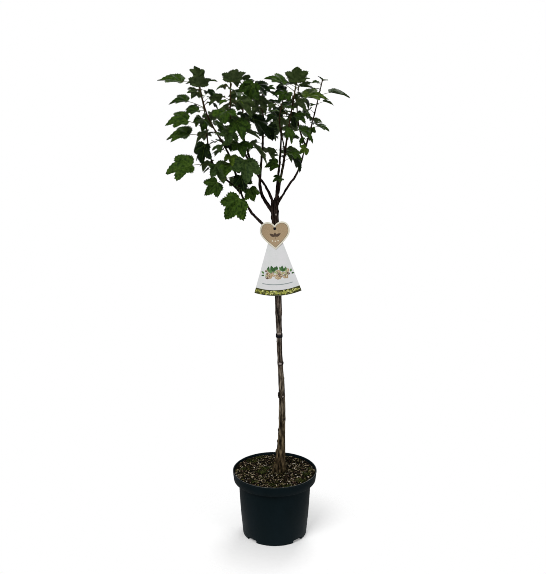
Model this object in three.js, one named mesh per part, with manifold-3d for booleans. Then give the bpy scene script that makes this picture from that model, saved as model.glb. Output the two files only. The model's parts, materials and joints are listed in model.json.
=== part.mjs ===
// A white currant grown as a standard: a clear stem with a vase of leafy shoots on top, standing in a
// round plastic nursery pot filled with compost, with a heart and fan plant label tied to the stem.
// Millimetres, +Z up. The origin is the centre of the pot's underside. -Y is the side that the label faces.
import * as THREE from "three";
import { mergeVertices } from "three/addons/utils/BufferGeometryUtils.js";
import Module from "manifold-3d";

const wasm = await Module();
wasm.setup();

// Driving dimensions
const CLEARANCE = 0.3;
const POT = {
  height: 176,
  rimRadius: 110,
  collarRadius: 107,
  collarFoot: 150,
  neckRadius: 94,
  baseRadius: 84,
  belly: 2,
  bellyHeights: [50, 100],
  wall: 1.8,
  rimWall: 2.8,
  rimDepth: 3,
  floor: 3,
  channelRadius: 64,
  sides: 40,
};
const NOTCH = { count: 4, width: 30, height: 8, depth: 16, cover: 2.4 };
const COMPOST = { belowRim: 5, sink: 1.5 };
const TRUNK = {
  foot: [14, 0],
  guides: [[19, 0, 310], [17, 0, 410], [12, 0, 510], [8, 0, 660]],
  top: [-1, 0, 884],
  radius: 6.7,
  topRadius: 9,
  flare: 9,
  flareHeight: 78,
  flareRings: [0, 5, 12, 24, 42, 68, 100],
  buttresses: 4,
  buttressDepth: 0.26,
  buttressHeight: 26,
  knuckles: [318, 380, 468, 600, 700, 790, 852],
  knuckleSwell: 0.9,
  knuckleHeight: 7,
  ringSpacing: 55,
  sides: 12,
};
const BAND = { z: 540, height: 9, gap: 0.7, thickness: 1.6, sides: 24 };
const LABEL = {
  holeZ: 817,
  across: -0.5,
  standOff: 18,
  tilt: 3,
  thickness: 0.8,
  heartWidth: 73,
  heartHeight: 71,
  heartTop: 19,
  heartCrown: 2.5,
  heartShoulder: 25,
  heartWaist: 40,
  heartPoint: 14,
  cleft: 11.5,
  heartSteps: 9,
  fanApex: 20,
  fanRadius: 189,
  fanTopRadius: 15,
  fanHalfAngle: 18.1,
  fanBow: 5,
  fanSteps: 12,
  holeRadius: 2.2,
  tieGap: 0.6,
  tieSunk: 0.5,
  tieRadius: 1.3,
  tieBand: 3,
  tieThickness: 1.4,
  headRadius: 3.4,
  headDepth: 1.2,
};

// The limbs: each leaves its parent at a height, follows its guides and ends at its tip. "bare" is the share
// of it that is bough, with no leaves; "leaf" the length of its largest blade, "spacing" the run of shoot
// between two leaves, "turn" the bearing of its first leaf.
const LIMBS = [
  {
    name: "low_left", parent: "trunk", height: 794, girth: [4.2, 1.3], bare: 0.34,
    guides: [[-70, -15, 875], [-105, -45, 990], [-155, -60, 1085]], tip: [-175, -70, 1165],
    leaf: 46, spacing: 19, turn: 158, seed: 5958,
  },
  {
    name: "outer_left", parent: "low_left", height: 905, girth: [2.9, 1.2], bare: 0.2,
    guides: [[-150, -10, 975], [-170, 30, 1095]], tip: [-185, 45, 1160],
    leaf: 46, spacing: 23, turn: 318, seed: 7632,
  },
  {
    name: "mid_left", parent: "trunk", height: 866, girth: [3.8, 1.3], bare: 0.38,
    guides: [[-20, -15, 915], [-45, -40, 955], [-70, -60, 1000], [-100, -85, 1060]], tip: [-100, -110, 1165],
    leaf: 56, spacing: 16, turn: 234, seed: 7394,
  },
  {
    name: "twin_left", parent: "mid_left", height: 971, girth: [3.0, 1.2], bare: 0.3,
    guides: [[-75, -35, 1045], [-75, -5, 1110]], tip: [-65, 15, 1165],
    leaf: 56, spacing: 20, turn: 197, seed: 4233,
  },
  {
    name: "back_left", parent: "trunk", height: 846, girth: [5.6, 1.3], bare: 0.48,
    guides: [[-35, 20, 910], [-30, 70, 1020]], tip: [-30, 125, 1145],
    leaf: 46, spacing: 20, turn: 10, seed: 7146,
  },
  {
    name: "upright", parent: "trunk", height: 878, girth: [4.0, 1.3], bare: 0.3,
    guides: [[10, -5, 915], [20, -10, 970], [30, -30, 1045]], tip: [50, -40, 1165],
    leaf: 44, spacing: 24, turn: 334, seed: 7490,
  },
  {
    name: "front_thin", parent: "upright", height: 1002, girth: [2.5, 1.1], bare: 0.35,
    guides: [[15, -50, 1045], [10, -75, 1080]], tip: [15, -100, 1115],
    leaf: 37, spacing: 26, turn: 314, seed: 7391,
  },
  {
    name: "right", parent: "trunk", height: 866, girth: [3.8, 1.1], bare: 0.5,
    guides: [[35, 10, 920], [55, 15, 950], [75, 30, 1010], [95, 35, 1085]], tip: [115, 45, 1170],
    leaf: 30, spacing: 25, turn: 140, seed: 1965,
  },
  {
    name: "back_right", parent: "right", height: 1012, girth: [2.8, 1.1], bare: 0.3,
    guides: [[60, 65, 1055], [55, 95, 1110]], tip: [60, 120, 1155],
    leaf: 44, spacing: 17, turn: 123, seed: 327,
  },
  {
    name: "rear", parent: "trunk", height: 856, girth: [4.4, 1.3], bare: 0.45,
    guides: [[8, 44, 930], [15, 100, 1010]], tip: [20, 160, 1118],
    leaf: 42, spacing: 22, turn: 291, seed: 6337,
  },
];
const LIMB = { sides: 6, step: 26 };
const PATH_STEPS = 48;

// Leaves that mark the crown's outline: the share of the limb where the stalk leaves, the blade's base,
// the bearing that it points to, its droop and roll in degrees, and its length
const OUTLYING_LEAVES = [
  { limb: "outer_left", share: 1.0, base: [-225, 30, 1165], bearing: 180, droop: -10, roll: -20, size: 58 },
  { limb: "outer_left", share: 0.8, base: [-210, 5, 1120], bearing: 180, droop: -5, roll: -20, size: 44 },
  { limb: "outer_left", share: 0.62, base: [-210, -5, 1075], bearing: 180, droop: 0, roll: -35, size: 54 },
  { limb: "outer_left", share: 0.56, base: [-210, 25, 1040], bearing: 165, droop: 0, roll: -30, size: 60 },
  { limb: "outer_left", share: 0.32, base: [-200, -20, 970], bearing: 180, droop: 10, roll: -45, size: 66 },
  { limb: "outer_left", share: 0.42, base: [-165, -40, 1020], bearing: 180, droop: 75, roll: -60, size: 46 },
  { limb: "low_left", share: 0.98, base: [-175, -70, 1175], bearing: -105, droop: -65, roll: 0, size: 32 },
  { limb: "low_left", share: 0.94, base: [-170, -85, 1155], bearing: -85, droop: -45, roll: 0, size: 44 },
  { limb: "low_left", share: 0.44, base: [-135, -80, 935], bearing: -155, droop: 40, roll: -70, size: 42 },
  { limb: "low_left", share: 0.36, base: [-85, -65, 895], bearing: 180, droop: 55, roll: -85, size: 62 },
  { limb: "low_left", share: 0.36, base: [-60, -30, 915], bearing: 0, droop: 70, roll: 75, size: 34 },
  { limb: "mid_left", share: 0.94, base: [-95, -120, 1165], bearing: -80, droop: -45, roll: 0, size: 46 },
  { limb: "twin_left", share: 0.86, base: [-50, -35, 1160], bearing: 180, droop: 65, roll: -70, size: 50 },
  { limb: "upright", share: 0.92, base: [20, -45, 1160], bearing: 180, droop: -30, roll: -20, size: 46 },
  { limb: "upright", share: 0.88, base: [25, -25, 1145], bearing: 180, droop: 15, roll: -30, size: 34 },
  { limb: "upright", share: 0.94, base: [50, -55, 1165], bearing: -95, droop: -55, roll: 0, size: 46 },
  { limb: "upright", share: 0.84, base: [70, -55, 1130], bearing: 0, droop: -10, roll: 20, size: 54 },
  { limb: "upright", share: 0.42, base: [40, -40, 1000], bearing: -20, droop: 20, roll: 20, size: 30 },
  { limb: "upright", share: 0.32, base: [5, -35, 975], bearing: 180, droop: 10, roll: -45, size: 32 },
  { limb: "upright", share: 0.32, base: [15, -25, 940], bearing: -145, droop: 5, roll: -30, size: 24 },
  { limb: "right", share: 0.88, base: [135, 45, 1140], bearing: 0, droop: 0, roll: 10, size: 48 },
  { limb: "right", share: 0.64, base: [105, 30, 1060], bearing: 0, droop: 15, roll: 15, size: 30 },
  { limb: "right", share: 0.52, base: [75, 0, 1010], bearing: -135, droop: 25, roll: -60, size: 24 },
];

// The rule for all the other leaves
const LEAF = {
  size: 1,
  golden: 137.5,
  youngest: 0.66,
  sizeSpread: 0.2,
  bearingSpread: 16,
  lean: 52,
  leanSpread: 12,
  stalk: 0.62,
  stalkSpread: 0.25,
  droopBelow: 48,
  droopAbove: 6,
  droopSpread: 20,
  rollSpread: 26,
  yawSpread: 26,
};
const TUFT = {
  count: 3,
  share: 0.985,
  size: 0.8,
  lean: 34,
  leanSpread: 10,
  stalk: 0.434,
  droop: -22,
  droopSpread: 26,
};
const TRIES = { count: 8, turn: 23, shrink: 0.03 };
const SPACE = { grid: 6.5, blades: 8, stalks: 4, ownStem: 1.2, limbs: 5, stalkToLimb: 4, reach: 110 };

// The oval that stands for a blade where room is measured, and the places read along a stalk
const OVAL = { start: -0.08, length: 1.06, middle: 0.42, halfLength: 0.58, halfWidth: 0.57, edge: 0.01 };
const STALK_PLACES = [0.35, 0.5, 0.65, 0.8, 0.93];

// Half of a blade's outline, base to tip, in blade lengths: basal lobe, side lobe, notch to the middle lobe
const HALF_OUTLINE = [[-0.09, 0.2], [0.06, 0.48], [0.53, 0.56], [0.65, 0.33]];
const BLADE = { palm: 0.3, thickness: 0.9, fold: 0.22, bend: 0.22 };
const STALK = { radius: 0.9, endRadius: 0.42, sunk: 0.1, arch: 0.08 };

const MATERIAL = {
  pot: new THREE.MeshStandardMaterial({ color: 0x1c2427, roughness: 0.55, metalness: 0 }),
  compost: new THREE.MeshStandardMaterial({ color: 0x3a2e22, roughness: 0.95, metalness: 0 }),
  bark: new THREE.MeshStandardMaterial({ color: 0x5d5044, roughness: 0.9, metalness: 0 }),
  shoot: new THREE.MeshStandardMaterial({ color: 0x3a2b26, roughness: 0.85, metalness: 0 }),
  leaf: new THREE.MeshStandardMaterial({ color: 0x2f4a1e, roughness: 0.6, metalness: 0 }),
  kraft: new THREE.MeshStandardMaterial({ color: 0xa98d68, roughness: 0.8, metalness: 0 }),
  card: new THREE.MeshStandardMaterial({ color: 0xe4e2e8, roughness: 0.5, metalness: 0 }),
  tie: new THREE.MeshStandardMaterial({ color: 0x16161a, roughness: 0.6, metalness: 0 }),
};

const UP = new THREE.Vector3(0, 0, 1);
const vec = (p) => new THREE.Vector3(...p);
const radians = THREE.MathUtils.degToRad;
const mix = THREE.MathUtils.lerp;

// A repeatable run of numbers between 0 and 1
function dice(seed) {
  let state = (seed * 1299709 + 7919) % 2147483647;
  return () => {
    state = (state * 16807) % 2147483647;
    return state / 2147483647;
  };
}

// A smooth line through guide points, read by the share of its length
class Path {
  constructor(guides) {
    this.points = new THREE.CatmullRomCurve3(guides.map(vec), false, "catmullrom", 0.5).getPoints(PATH_STEPS);
    this.marks = [0];
    for (let i = 1; i <= PATH_STEPS; i++) {
      this.marks.push(this.marks[i - 1] + this.points[i].distanceTo(this.points[i - 1]));
    }
    this.length = this.marks[PATH_STEPS];
  }
  at(share) {
    const mark = Math.min(Math.max(share, 0), 1) * this.length;
    let i = 1;
    while (i < PATH_STEPS && this.marks[i] < mark) i++;
    const along = (mark - this.marks[i - 1]) / (this.marks[i] - this.marks[i - 1]);
    return this.points[i - 1].clone().lerp(this.points[i], along);
  }
  heading(share) {
    return this.at(share + 0.02).sub(this.at(share - 0.02)).normalize();
  }
  shareAtHeight(z) {
    const i = Math.max(1, this.points.findIndex((p) => p.z >= z));
    const along = (z - this.points[i - 1].z) / (this.points[i].z - this.points[i - 1].z);
    return mix(this.marks[i - 1], this.marks[i], along) / this.length;
  }
}

// One closed surface through rings of points, with a flat cap at each end
function loft(rings) {
  const count = rings[0].length;
  const points = rings.flat();
  const end = (rings.length - 1) * count;
  const faces = [];
  for (let j = 0; j < count; j++) {
    const k = (j + 1) % count;
    for (let i = 0; i < end; i += count) {
      faces.push(i + j, i + k, i + count + k);
      faces.push(i + j, i + count + k, i + count + j);
    }
  }
  for (let j = 1; j < count - 1; j++) {
    faces.push(0, j + 1, j);
    faces.push(end, end + j, end + j + 1);
  }
  return surface(points, faces);
}

function surface(points, faces) {
  const geometry = new THREE.BufferGeometry();
  geometry.setAttribute("position", new THREE.Float32BufferAttribute(points.flatMap((p) => p.toArray()), 3));
  geometry.setIndex(faces);
  return geometry;
}

// A round rod along a line of points, square to the heading at each
function rod(line, headings, radii, sides) {
  let side = Math.abs(headings[0].x) > 0.9 ? new THREE.Vector3(0, 1, 0) : new THREE.Vector3(1, 0, 0);
  return loft(line.map((p, i) => {
    side = side.clone().addScaledVector(headings[i], -side.dot(headings[i])).normalize();
    const other = new THREE.Vector3().crossVectors(headings[i], side);
    return Array.from({ length: sides }, (_, j) => {
      const angle = (2 * Math.PI * j) / sides;
      const out = side.clone().multiplyScalar(Math.cos(angle)).addScaledVector(other, Math.sin(angle));
      return p.clone().addScaledVector(out, radii[i]);
    });
  }));
}

// Closed solids, for joining and cutting
function solid(geometry) {
  const bare = new THREE.BufferGeometry();
  const plain = geometry.index ? geometry.toNonIndexed() : geometry;
  bare.setAttribute("position", plain.getAttribute("position"));
  const merged = mergeVertices(bare, 1e-4);
  const vertProperties = new Float32Array(merged.attributes.position.array);
  const triVerts = new Uint32Array(merged.index.array);
  return new wasm.Manifold(new wasm.Mesh({ numProp: 3, vertProperties, triVerts }));
}

function meshOf(name, shape, material) {
  const made = shape.getMesh();
  const geometry = new THREE.BufferGeometry();
  geometry.setAttribute("position", new THREE.BufferAttribute(new Float32Array(made.vertProperties), 3));
  geometry.setIndex(new THREE.BufferAttribute(new Uint32Array(made.triVerts), 1));
  geometry.computeVertexNormals();
  const mesh = new THREE.Mesh(geometry, material);
  mesh.name = name;
  return mesh;
}

// The body that fusing or cutting leaves, without any loose scrap
const largest = (shape) => shape.decompose().reduce((a, b) => (b.volume() > a.volume() ? b : a));

// A ring or a round solid from [radius, height] points
function lathe(profile, sides) {
  const points = profile.map((p) => new THREE.Vector2(...p));
  return new THREE.LatheGeometry(points, sides).rotateX(Math.PI / 2);
}

// The pot: a tapered wall with a stepped-out collar under the rim, and drain notches cut into its foot
const channelFloor = NOTCH.height + NOTCH.cover;

function bodyRadius(z) {
  const rise = z / POT.collarFoot;
  return mix(POT.baseRadius, POT.neckRadius, rise) + POT.belly * Math.sin(Math.PI * rise);
}

// The inside of the pot from its middle out and up to the foot of the rim, drawn in by a gap
function cavity(gap) {
  const ledge = POT.collarFoot + POT.wall + gap;
  return [
    [0, POT.floor + gap],
    [POT.channelRadius - gap, POT.floor + gap],
    [POT.channelRadius + 2 - gap, channelFloor + gap],
    ...[channelFloor + gap, ...POT.bellyHeights].map((z) => [bodyRadius(z) - POT.wall - gap, z]),
    [POT.neckRadius - POT.wall - gap, ledge],
    [POT.collarRadius - POT.wall - gap, ledge],
  ];
}

function potShape() {
  const outside = [
    [0, 0],
    ...[0, ...POT.bellyHeights, POT.collarFoot].map((z) => [bodyRadius(z), z]),
    [POT.collarRadius, POT.collarFoot],
    [POT.rimRadius, POT.height - 1.5],
    [POT.rimRadius - 0.7, POT.height],
    [POT.rimRadius - POT.rimWall, POT.height],
    [POT.rimRadius - POT.rimWall, POT.height - POT.rimDepth],
  ];
  let pot = solid(lathe([...outside, ...cavity(0).toReversed()], POT.sides));
  for (let i = 0; i < NOTCH.count; i++) {
    const notch = new THREE.BoxGeometry(NOTCH.depth * 2, NOTCH.width, NOTCH.height * 2);
    notch.translate(POT.baseRadius, 0, 0).rotateZ((2 * Math.PI * (i + 0.5)) / NOTCH.count);
    pot = pot.subtract(solid(notch));
  }
  return pot;
}

// The compost fills the pot to just under the rim
const compostTop = POT.height - COMPOST.belowRim;

function compostShape() {
  const edge = POT.collarRadius - POT.wall - CLEARANCE;
  const top = [[edge, compostTop - COMPOST.sink], [edge * 0.8, compostTop], [0, compostTop]];
  return solid(lathe([...cavity(CLEARANCE), ...top], POT.sides));
}

// The trunk: flared and buttressed at the foot, swollen where old shoots were cut away
const trunkPath = new Path([[...TRUNK.foot, compostTop + CLEARANCE], ...TRUNK.guides, TRUNK.top]);
const trunkAt = (z) => trunkPath.at(trunkPath.shareAtHeight(z));

function trunkRadius(z) {
  const rise = z - compostTop;
  const swell = TRUNK.knuckles.reduce((sum, k) => sum + Math.exp(-(((z - k) / TRUNK.knuckleHeight) ** 2)), 0);
  const taper = mix(TRUNK.radius, TRUNK.topRadius, rise / (TRUNK.top[2] - compostTop));
  return taper + TRUNK.flare * Math.exp(-rise / TRUNK.flareHeight) + TRUNK.knuckleSwell * swell;
}

function trunkHeights() {
  const base = compostTop + CLEARANCE;
  const heights = [...TRUNK.flareRings.map((h) => base + h), TRUNK.top[2]];
  for (const k of TRUNK.knuckles) for (const h of [-9, 0, 9]) heights.push(k + h);
  for (let z = base + TRUNK.ringSpacing * 2; z < TRUNK.top[2] - 30; z += TRUNK.ringSpacing) {
    if (heights.every((h) => Math.abs(h - z) > 14)) heights.push(z);
  }
  return heights.sort((a, b) => a - b);
}

function trunkShape(extra = 0) {
  const heights = trunkHeights();
  return solid(loft(heights.map((z) => {
    const p = trunkAt(z);
    const ridge = TRUNK.buttressDepth * Math.exp((compostTop - z) / TRUNK.buttressHeight);
    const end = z === TRUNK.top[2] ? extra : 0;
    return Array.from({ length: TRUNK.sides }, (_, j) => {
      const angle = (2 * Math.PI * j) / TRUNK.sides;
      const radius = (trunkRadius(z) + extra) * (1 + ridge * Math.cos(TRUNK.buttresses * angle));
      return new THREE.Vector3(p.x + radius * Math.cos(angle), p.y + radius * Math.sin(angle), z + end);
    });
  })));
}

// Limbs: a bare bough, and a leafy stem that carries on along the same path
const limbs = new Map();
for (const limb of LIMBS) {
  const parent = limb.parent === "trunk" ? trunkPath : limbs.get(limb.parent).path;
  const root = parent.at(parent.shareAtHeight(limb.height)).toArray();
  limbs.set(limb.name, { ...limb, path: new Path([root, ...limb.guides, limb.tip]) });
}

function limbRod({ path, girth }, from, to, extra = 0) {
  const steps = Math.max(3, Math.ceil(((to - from) * path.length) / LIMB.step));
  const shares = Array.from({ length: steps + 1 }, (_, i) => mix(from, to, i / steps));
  const line = shares.map((s) => path.at(s));
  const headings = shares.map((s) => path.heading(s));
  return solid(rod(line, headings, shares.map((s) => mix(...girth, s) + extra), LIMB.sides));
}

function boughShapes() {
  const shapes = new Map();
  const swollen = { trunk: trunkShape(CLEARANCE) };
  for (const limb of limbs.values()) {
    let bough = limbRod(limb, 0, limb.bare).subtract(swollen[limb.parent]);
    for (const other of limbs.values()) {
      if (other === limb) break;
      if (other.parent === limb.parent) bough = bough.subtract(swollen[other.name]);
    }
    shapes.set(limb.name, largest(bough));
    swollen[limb.name] = limbRod(limb, 0, limb.bare, CLEARANCE).add(limbRod(limb, limb.bare - 0.02, 1, CLEARANCE));
  }
  return shapes;
}

// The directions of a blade: along its midrib, across it and out of its upper face
function orient(bearing, droop, roll) {
  const flat = new THREE.Vector3(Math.cos(radians(bearing)), Math.sin(radians(bearing)), 0);
  const along = flat.clone().multiplyScalar(Math.cos(radians(droop))).addScaledVector(UP, -Math.sin(radians(droop)));
  const across = new THREE.Vector3().crossVectors(UP, flat).applyAxisAngle(along, radians(roll));
  return { along, across, face: new THREE.Vector3().crossVectors(along, across) };
}

// A leaf whose stalk leaves a shoot at a lean to it, then turns outwards
function springLeaf(root, axis, leaf) {
  const bearing = radians(leaf.bearing);
  const out = new THREE.Vector3(Math.cos(bearing), Math.sin(bearing), 0);
  const side = out.clone().addScaledVector(axis, -out.dot(axis)).normalize();
  const lean = radians(leaf.lean);
  const start = side.multiplyScalar(Math.sin(lean)).addScaledVector(axis, Math.cos(lean)).normalize();
  const later = start.clone().addScaledVector(out, 0.5).addScaledVector(UP, -0.3).normalize();
  const knee = root.clone().addScaledVector(start, leaf.stalk / 2);
  const base = knee.clone().addScaledVector(later, leaf.stalk / 2);
  return { root, knee, base, size: leaf.size, ...orient(leaf.bearing + leaf.yaw, leaf.droop, leaf.roll) };
}

// A leaf whose blade is given, on a stalk that arches up a little from the limb
function reachLeaf(path, { share, base: [x, y, z], bearing, droop, roll, size }) {
  const root = path.at(share);
  const base = new THREE.Vector3(x, y, z);
  const knee = root.clone().lerp(base, 0.5).addScaledVector(UP, STALK.arch * root.distanceTo(base));
  return { root, knee, base, size, ...orient(bearing, droop, roll) };
}

// A point of a blade from its place in the flat outline: the halves fold up and the tip bends down
function bladePoint(leaf, x, y, below = 0) {
  const lift = BLADE.fold * Math.abs(y) - BLADE.bend * x * x;
  return leaf.base.clone()
    .addScaledVector(leaf.along, x * leaf.size)
    .addScaledVector(leaf.across, y * leaf.size)
    .addScaledVector(leaf.face, lift * leaf.size - below);
}

// Points spread over a leaf and along the limbs, which keep the leaves clear of one another
function spreadPoints(leaf) {
  const columns = Math.ceil((OVAL.length * leaf.size) / SPACE.grid);
  const rows = Math.ceil((OVAL.halfWidth * leaf.size) / SPACE.grid);
  const blade = [];
  for (let i = 0; i <= columns; i++) {
    const x = OVAL.start + (OVAL.length * i) / columns;
    const half = OVAL.halfWidth * Math.sqrt(Math.max(0, 1 - ((x - OVAL.middle) / OVAL.halfLength) ** 2));
    for (let j = -rows; j <= rows; j++) {
      const y = (OVAL.halfWidth * j) / rows;
      if (Math.abs(y) <= half + OVAL.edge) blade.push(bladePoint(leaf, x, y));
    }
  }
  const stalk = STALK_PLACES.map((t) =>
    t < 0.5 ? leaf.root.clone().lerp(leaf.knee, t * 2) : leaf.knee.clone().lerp(leaf.base, t * 2 - 1));
  return { blade, stalk, middle: bladePoint(leaf, OVAL.middle, 0) };
}

const limbPoints = [];
for (const limb of limbs.values()) {
  const steps = Math.ceil(limb.path.length / 6);
  for (let i = 0; i <= steps; i++) {
    const share = i / steps;
    const leafy = share > limb.bare + 0.02;
    limbPoints.push({ owner: limb.name, leafy, at: limb.path.at(share), radius: mix(...limb.girth, share) });
  }
}
for (let z = compostTop; z < TRUNK.top[2]; z += 6) {
  const at = trunkAt(Math.max(z, compostTop + CLEARANCE));
  limbPoints.push({ owner: "trunk", leafy: false, at, radius: TRUNK.radius });
}

const near = (a, b, limit) => a.distanceToSquared(b) < limit * limit;
const meet = (some, others, limit) => some.some((p) => others.some((q) => near(p, q, limit)));

function isClear(points, owner, placed) {
  for (const spot of limbPoints) {
    const own = spot.owner === owner;
    const margin = own && spot.leafy ? SPACE.ownStem : SPACE.limbs;
    if (points.blade.some((p) => near(p, spot.at, spot.radius + margin))) return false;
    if (!own && points.stalk.some((p) => near(p, spot.at, spot.radius + SPACE.stalkToLimb))) return false;
  }
  return placed.every((other) =>
    !near(points.middle, other.middle, SPACE.reach) ||
    !(meet(points.blade, other.blade, SPACE.blades) ||
      meet(points.stalk, other.blade, SPACE.stalks) ||
      meet(points.blade, other.stalk, SPACE.stalks)));
}

// All the leaves: the outlying ones, then each limb's own by a seeded rule. They climb the shoot in a spiral,
// larger and more drooping below, and end in an upright tuft. One that finds no room is turned, or left out.
function growLeaves() {
  const grown = new Map([...limbs.keys()].map((name) => [name, []]));
  const placed = [];
  const keep = (leaf, name) => {
    const points = spreadPoints(leaf);
    if (!isClear(points, name, placed)) return false;
    placed.push(points);
    grown.get(name).push(leaf);
    return true;
  };
  for (const row of OUTLYING_LEAVES) keep(reachLeaf(limbs.get(row.limb).path, row), row.limb);

  for (const limb of limbs.values()) {
    const roll = dice(limb.seed);
    const spread = (range) => (roll() - 0.5) * 2 * range;
    const { path, bare } = limb;
    const count = Math.max(3, Math.floor(((1 - bare) * path.length) / limb.spacing + 0.5));
    for (let k = 0; k < count + TUFT.count; k++) {
      const age = Math.min(1, k / count);
      const kind = k >= count ? TUFT : { ...LEAF, droop: mix(LEAF.droopBelow, LEAF.droopAbove, age) };
      const share = kind.share ?? bare + (1 - bare) * ((k + 0.7) / (count + 0.4));
      const size = limb.leaf * kind.size * mix(1, LEAF.youngest, age) * (1 + spread(LEAF.sizeSpread));
      const leaf = {
        bearing: limb.turn + k * LEAF.golden + spread(LEAF.bearingSpread),
        lean: kind.lean + spread(kind.leanSpread),
        stalk: size * kind.stalk * (1 + spread(LEAF.stalkSpread)),
        droop: kind.droop + spread(kind.droopSpread),
        roll: spread(LEAF.rollSpread),
        yaw: spread(LEAF.yawSpread),
      };
      for (let attempt = 0; attempt < TRIES.count; attempt++) {
        const turn = TRIES.turn * Math.ceil(attempt / 2) * (attempt % 2 ? 1 : -1);
        const tried = { ...leaf, bearing: leaf.bearing + turn, size: size * (1 - TRIES.shrink * attempt) };
        if (keep(springLeaf(path.at(share), path.heading(share), tried), limb.name)) break;
      }
    }
  }
  return grown;
}

// A blade as a thin slab in its lobed outline
function bladeShape(leaf) {
  const right = HALF_OUTLINE.map(([x, y]) => [x, -y]);
  const outline = [[0, 0], ...right, [1, 0], ...HALF_OUTLINE.toReversed()];
  const points = [0, BLADE.thickness].flatMap((below) => [
    bladePoint(leaf, BLADE.palm, 0, below),
    ...outline.map(([x, y]) => bladePoint(leaf, x, y, below)),
  ]);
  const lower = outline.length + 1;
  const faces = [];
  for (let i = 1; i < lower; i++) {
    const next = (i % outline.length) + 1;
    faces.push(0, i, next);
    faces.push(lower, lower + next, lower + i);
    faces.push(i, lower + i, lower + next);
    faces.push(i, lower + next, next);
  }
  return solid(surface(points, faces));
}

function stalkShape(leaf) {
  const end = bladePoint(leaf, STALK.sunk, 0, BLADE.thickness / 2);
  const line = [leaf.root, leaf.knee, end];
  const first = leaf.knee.clone().sub(leaf.root).normalize();
  const last = end.clone().sub(leaf.knee).normalize();
  const headings = [first, first.clone().add(last).normalize(), last];
  return solid(rod(line, headings, [STALK.radius, mix(STALK.radius, STALK.endRadius, 0.5), STALK.endRadius], 3));
}

function foliageShape(limb, leaves) {
  const stem = limbRod(limb, limb.bare + CLEARANCE / limb.path.length, 1);
  const pieces = leaves.flatMap((leaf) => [stalkShape(leaf), bladeShape(leaf)]);
  return largest(wasm.Manifold.union([stem, ...pieces]));
}

// The label: a fan of card hanging behind a heart of kraft board, both on a tie round the stem
const labelTurn = new THREE.Matrix4().makeRotationY(-radians(LABEL.tilt));
const hang = (geometry) => geometry.applyMatrix4(labelTurn).translate(LABEL.across, -LABEL.standOff, LABEL.holeZ);
const rodThrough = (radius, depth, sides) => new THREE.CylinderGeometry(radius, radius, depth, sides);
const labelHole = () => solid(hang(rodThrough(LABEL.holeRadius, LABEL.thickness * 6, 16)));

function heartShape() {
  const half = LABEL.heartWidth / 2;
  const top = LABEL.heartTop;
  const tip = top - LABEL.heartHeight;
  const crown = top + LABEL.heartCrown;
  const shoulder = top - LABEL.heartShoulder;
  const waist = top - LABEL.heartWaist;
  const point = tip + LABEL.heartPoint;
  const curve = new THREE.Shape();
  curve.moveTo(0, top - LABEL.cleft);
  curve.bezierCurveTo(half * 0.25, crown, half, crown, half, shoulder);
  curve.bezierCurveTo(half, waist, half * 0.42, point, 0, tip);
  curve.bezierCurveTo(-half * 0.42, point, -half, waist, -half, shoulder);
  curve.bezierCurveTo(-half, crown, -half * 0.25, crown, 0, top - LABEL.cleft);
  const outline = new THREE.Shape(curve.getPoints(LABEL.heartSteps).slice(0, -1));
  const plate = new THREE.ExtrudeGeometry(outline, { depth: LABEL.thickness, bevelEnabled: false }).rotateX(Math.PI / 2);
  return solid(hang(plate)).subtract(labelHole());
}

function fanShape() {
  const rings = [];
  for (let j = 0; j <= LABEL.fanSteps; j++) {
    const part = (2 * j) / LABEL.fanSteps - 1;
    const angle = radians(LABEL.fanHalfAngle * part);
    const corner = (radius, depth) => {
      const bow = LABEL.fanBow * part * part * (radius / LABEL.fanRadius);
      const height = LABEL.fanApex - radius * Math.cos(angle);
      return new THREE.Vector3(radius * Math.sin(angle), CLEARANCE + bow + depth, height);
    };
    rings.push([
      corner(LABEL.fanTopRadius, 0),
      corner(LABEL.fanRadius, 0),
      corner(LABEL.fanRadius, LABEL.thickness),
      corner(LABEL.fanTopRadius, LABEL.thickness),
    ]);
  }
  return solid(hang(loft(rings))).subtract(labelHole());
}

function tieShape() {
  const stem = trunkAt(LABEL.holeZ);
  const inner = trunkRadius(LABEL.holeZ) + LABEL.tieGap;
  const outer = inner + LABEL.tieThickness;
  const half = LABEL.tieBand / 2;
  const ring = lathe([[inner, -half], [outer, -half], [outer, half], [inner, half], [inner, -half]], 20);
  ring.translate(stem.x, stem.y, LABEL.holeZ);
  const front = LABEL.standOff + LABEL.thickness + CLEARANCE;
  const pin = rodThrough(LABEL.tieRadius, front - inner, 12);
  pin.translate(LABEL.across, -((front + inner) / 2 + LABEL.tieSunk), LABEL.holeZ);
  const head = rodThrough(LABEL.headRadius, LABEL.headDepth, 12);
  head.translate(LABEL.across, -(front + LABEL.headDepth / 2), LABEL.holeZ);
  return solid(ring).add(solid(pin)).add(solid(head));
}

// A tie band snug round the stem
function bandShape() {
  const stem = trunkAt(BAND.z);
  const inner = trunkRadius(BAND.z) + BAND.gap;
  const outer = inner + BAND.thickness;
  const half = BAND.height / 2;
  const ring = lathe([[inner, -half], [outer, -half], [outer, half], [inner, half], [inner, -half]], BAND.sides);
  return solid(ring.translate(stem.x, stem.y, BAND.z));
}

const plant = new THREE.Group();
plant.add(meshOf("pot", potShape(), MATERIAL.pot));
plant.add(meshOf("compost", compostShape(), MATERIAL.compost));
plant.add(meshOf("trunk", trunkShape(), MATERIAL.bark));
plant.add(meshOf("stem_band", bandShape(), MATERIAL.tie));
plant.add(meshOf("label_heart", heartShape(), MATERIAL.kraft));
plant.add(meshOf("label_fan", fanShape(), MATERIAL.card));
plant.add(meshOf("label_tie", tieShape(), MATERIAL.tie));

const boughs = boughShapes();
const leaves = growLeaves();
for (const limb of limbs.values()) {
  plant.add(meshOf("bough_" + limb.name, boughs.get(limb.name), MATERIAL.shoot));
  plant.add(meshOf("foliage_" + limb.name, foliageShape(limb, leaves.get(limb.name)), MATERIAL.leaf));
}

export default plant;
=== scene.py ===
import json
import math

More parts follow.
